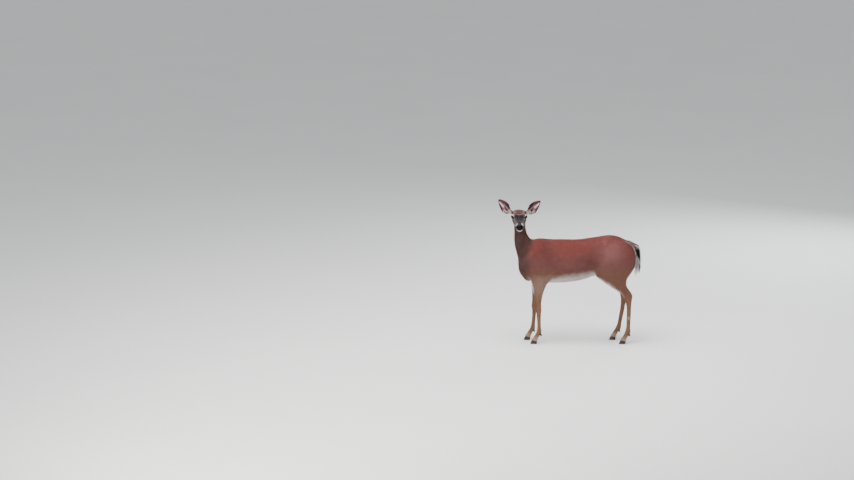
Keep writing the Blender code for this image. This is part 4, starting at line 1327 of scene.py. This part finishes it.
skin, flesh = make_skin()
shares = sculpt(skin, flesh)
unwrapped(skin)

points = coordinates(skin.data)
paint(skin.data, markings(points, vertex_normals(skin.data), shares))
skin.data.shade_smooth()
skin.data.materials.clear()
skin.data.materials.append(skin_material())
skin.data.materials.append(leather_material())
bare_nose = nose_share(read(skin.data.polygons, "center")) > 0.5
skin.data.polygons.foreach_set("material_index", bare_nose.astype(np.int32))
skin.data.update()
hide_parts(*[node for nodes in FLESH.values() for node in nodes])
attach(skin, "root")

hair = hair_material()
roots = coat_roots(skin.data, flesh)
names = piece_names(roots)
for name in PIECES:
    grow(name, picked(roots, names == name), SHORT)

short_head = picked(roots, names == "coat_head")
long_pieces = {
    "hair_tail": long_tail_hair(picked(roots, names == "coat_tail")),
    "hair_ears": long_ear_hair(picked(roots, names == "coat_ears")),
    "lashes_left": lashes(1, short_head),
    "lashes_right": lashes(-1, short_head),
    "whiskers": whiskers(short_head),
}
for name, long_roots in long_pieces.items():
    grow(name, long_roots, LONG)

eye = eye_material()
for word in SIDES:
    ball = make_eye(word)
    ball.data.materials.append(eye)
    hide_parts(f"eye_{word}")
    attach(ball, "root")

horn = horn_material()
for node in list(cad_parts):
    if "claw" in node:
        hoof = make_hoof(node, points)
        hoof.data.materials.append(horn)
        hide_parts(node)
        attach(hoof, "root")


# ---------------------------------------------------------------- floor, light and camera
bpy.ops.mesh.primitive_plane_add(size=400, location=(0, 0, 0))
floor = bpy.context.object
floor.name = "floor"
floor.data.materials.append(floor_material())


def area_light(name, place, target, size, power, colour):
    light = bpy.data.lights.new(name, "AREA")
    light.shape = "DISK"
    light.size = size
    light.energy = power
    light.color = colour
    made = bpy.data.objects.new(name, light)
    bpy.context.scene.collection.objects.link(made)
    made.location = place
    towards = Vector(target) - Vector(place)
    made.rotation_euler = towards.to_track_quat("-Z", "Y").to_euler()


MIDDLE = (0.0, 0.0, 0.65)
area_light("sky", (1.2, -0.8, 5.5), MIDDLE, 5.0, 420, (1.0, 0.99, 0.97))
area_light("front", (5.0, -3.0, 2.6), MIDDLE, 3.0, 190, (1.0, 0.98, 0.96))
area_light("behind", (-4.5, 3.0, 2.8), MIDDLE, 3.0, 150, (0.96, 0.98, 1.0))


def studio_world():
    """Light from all round, brightest overhead, that meets the far floor in the floor's own grey."""
    world = bpy.data.worlds.new("studio")
    made = Nodes(world)
    height = made.node("SeparateXYZ", {"Vector": made.node("TexCoord").outputs["Generated"]}).outputs["Z"]
    grey = made.blended(height, (0.385, 0.392, 0.396, 1), (0.73, 0.745, 0.76, 1))
    background = made.nodes["Background"].inputs
    made.links.new(grey, background["Color"])
    background["Strength"].default_value = 1.1
    return world


bpy.context.scene.world = studio_world()

bpy.context.scene.view_settings.view_transform = "AgX"
bpy.context.scene.view_settings.look = "AgX - Medium High Contrast"

CAMERA_DISTANCE = 25.0
CAMERA_RISE = math.radians(11)
FRAME_WIDTH = 6.86  # the photograph's width at the doe
AIM = np.array((0.0, -1.145, 0.847))
camera_data = bpy.data.cameras.new("camera")
camera_data.sensor_width = 36
camera_data.lens = 36 * CAMERA_DISTANCE / FRAME_WIDTH
camera_data.clip_end = 600
camera = bpy.data.objects.new("camera", camera_data)
bpy.context.scene.collection.objects.link(camera)
towards_camera = Vector((math.cos(CAMERA_RISE), 0, math.sin(CAMERA_RISE)))
camera.location = Vector(AIM) + towards_camera * CAMERA_DISTANCE
camera.rotation_euler = towards_camera.to_track_quat("Z", "Y").to_euler()
bpy.context.scene.camera = camera
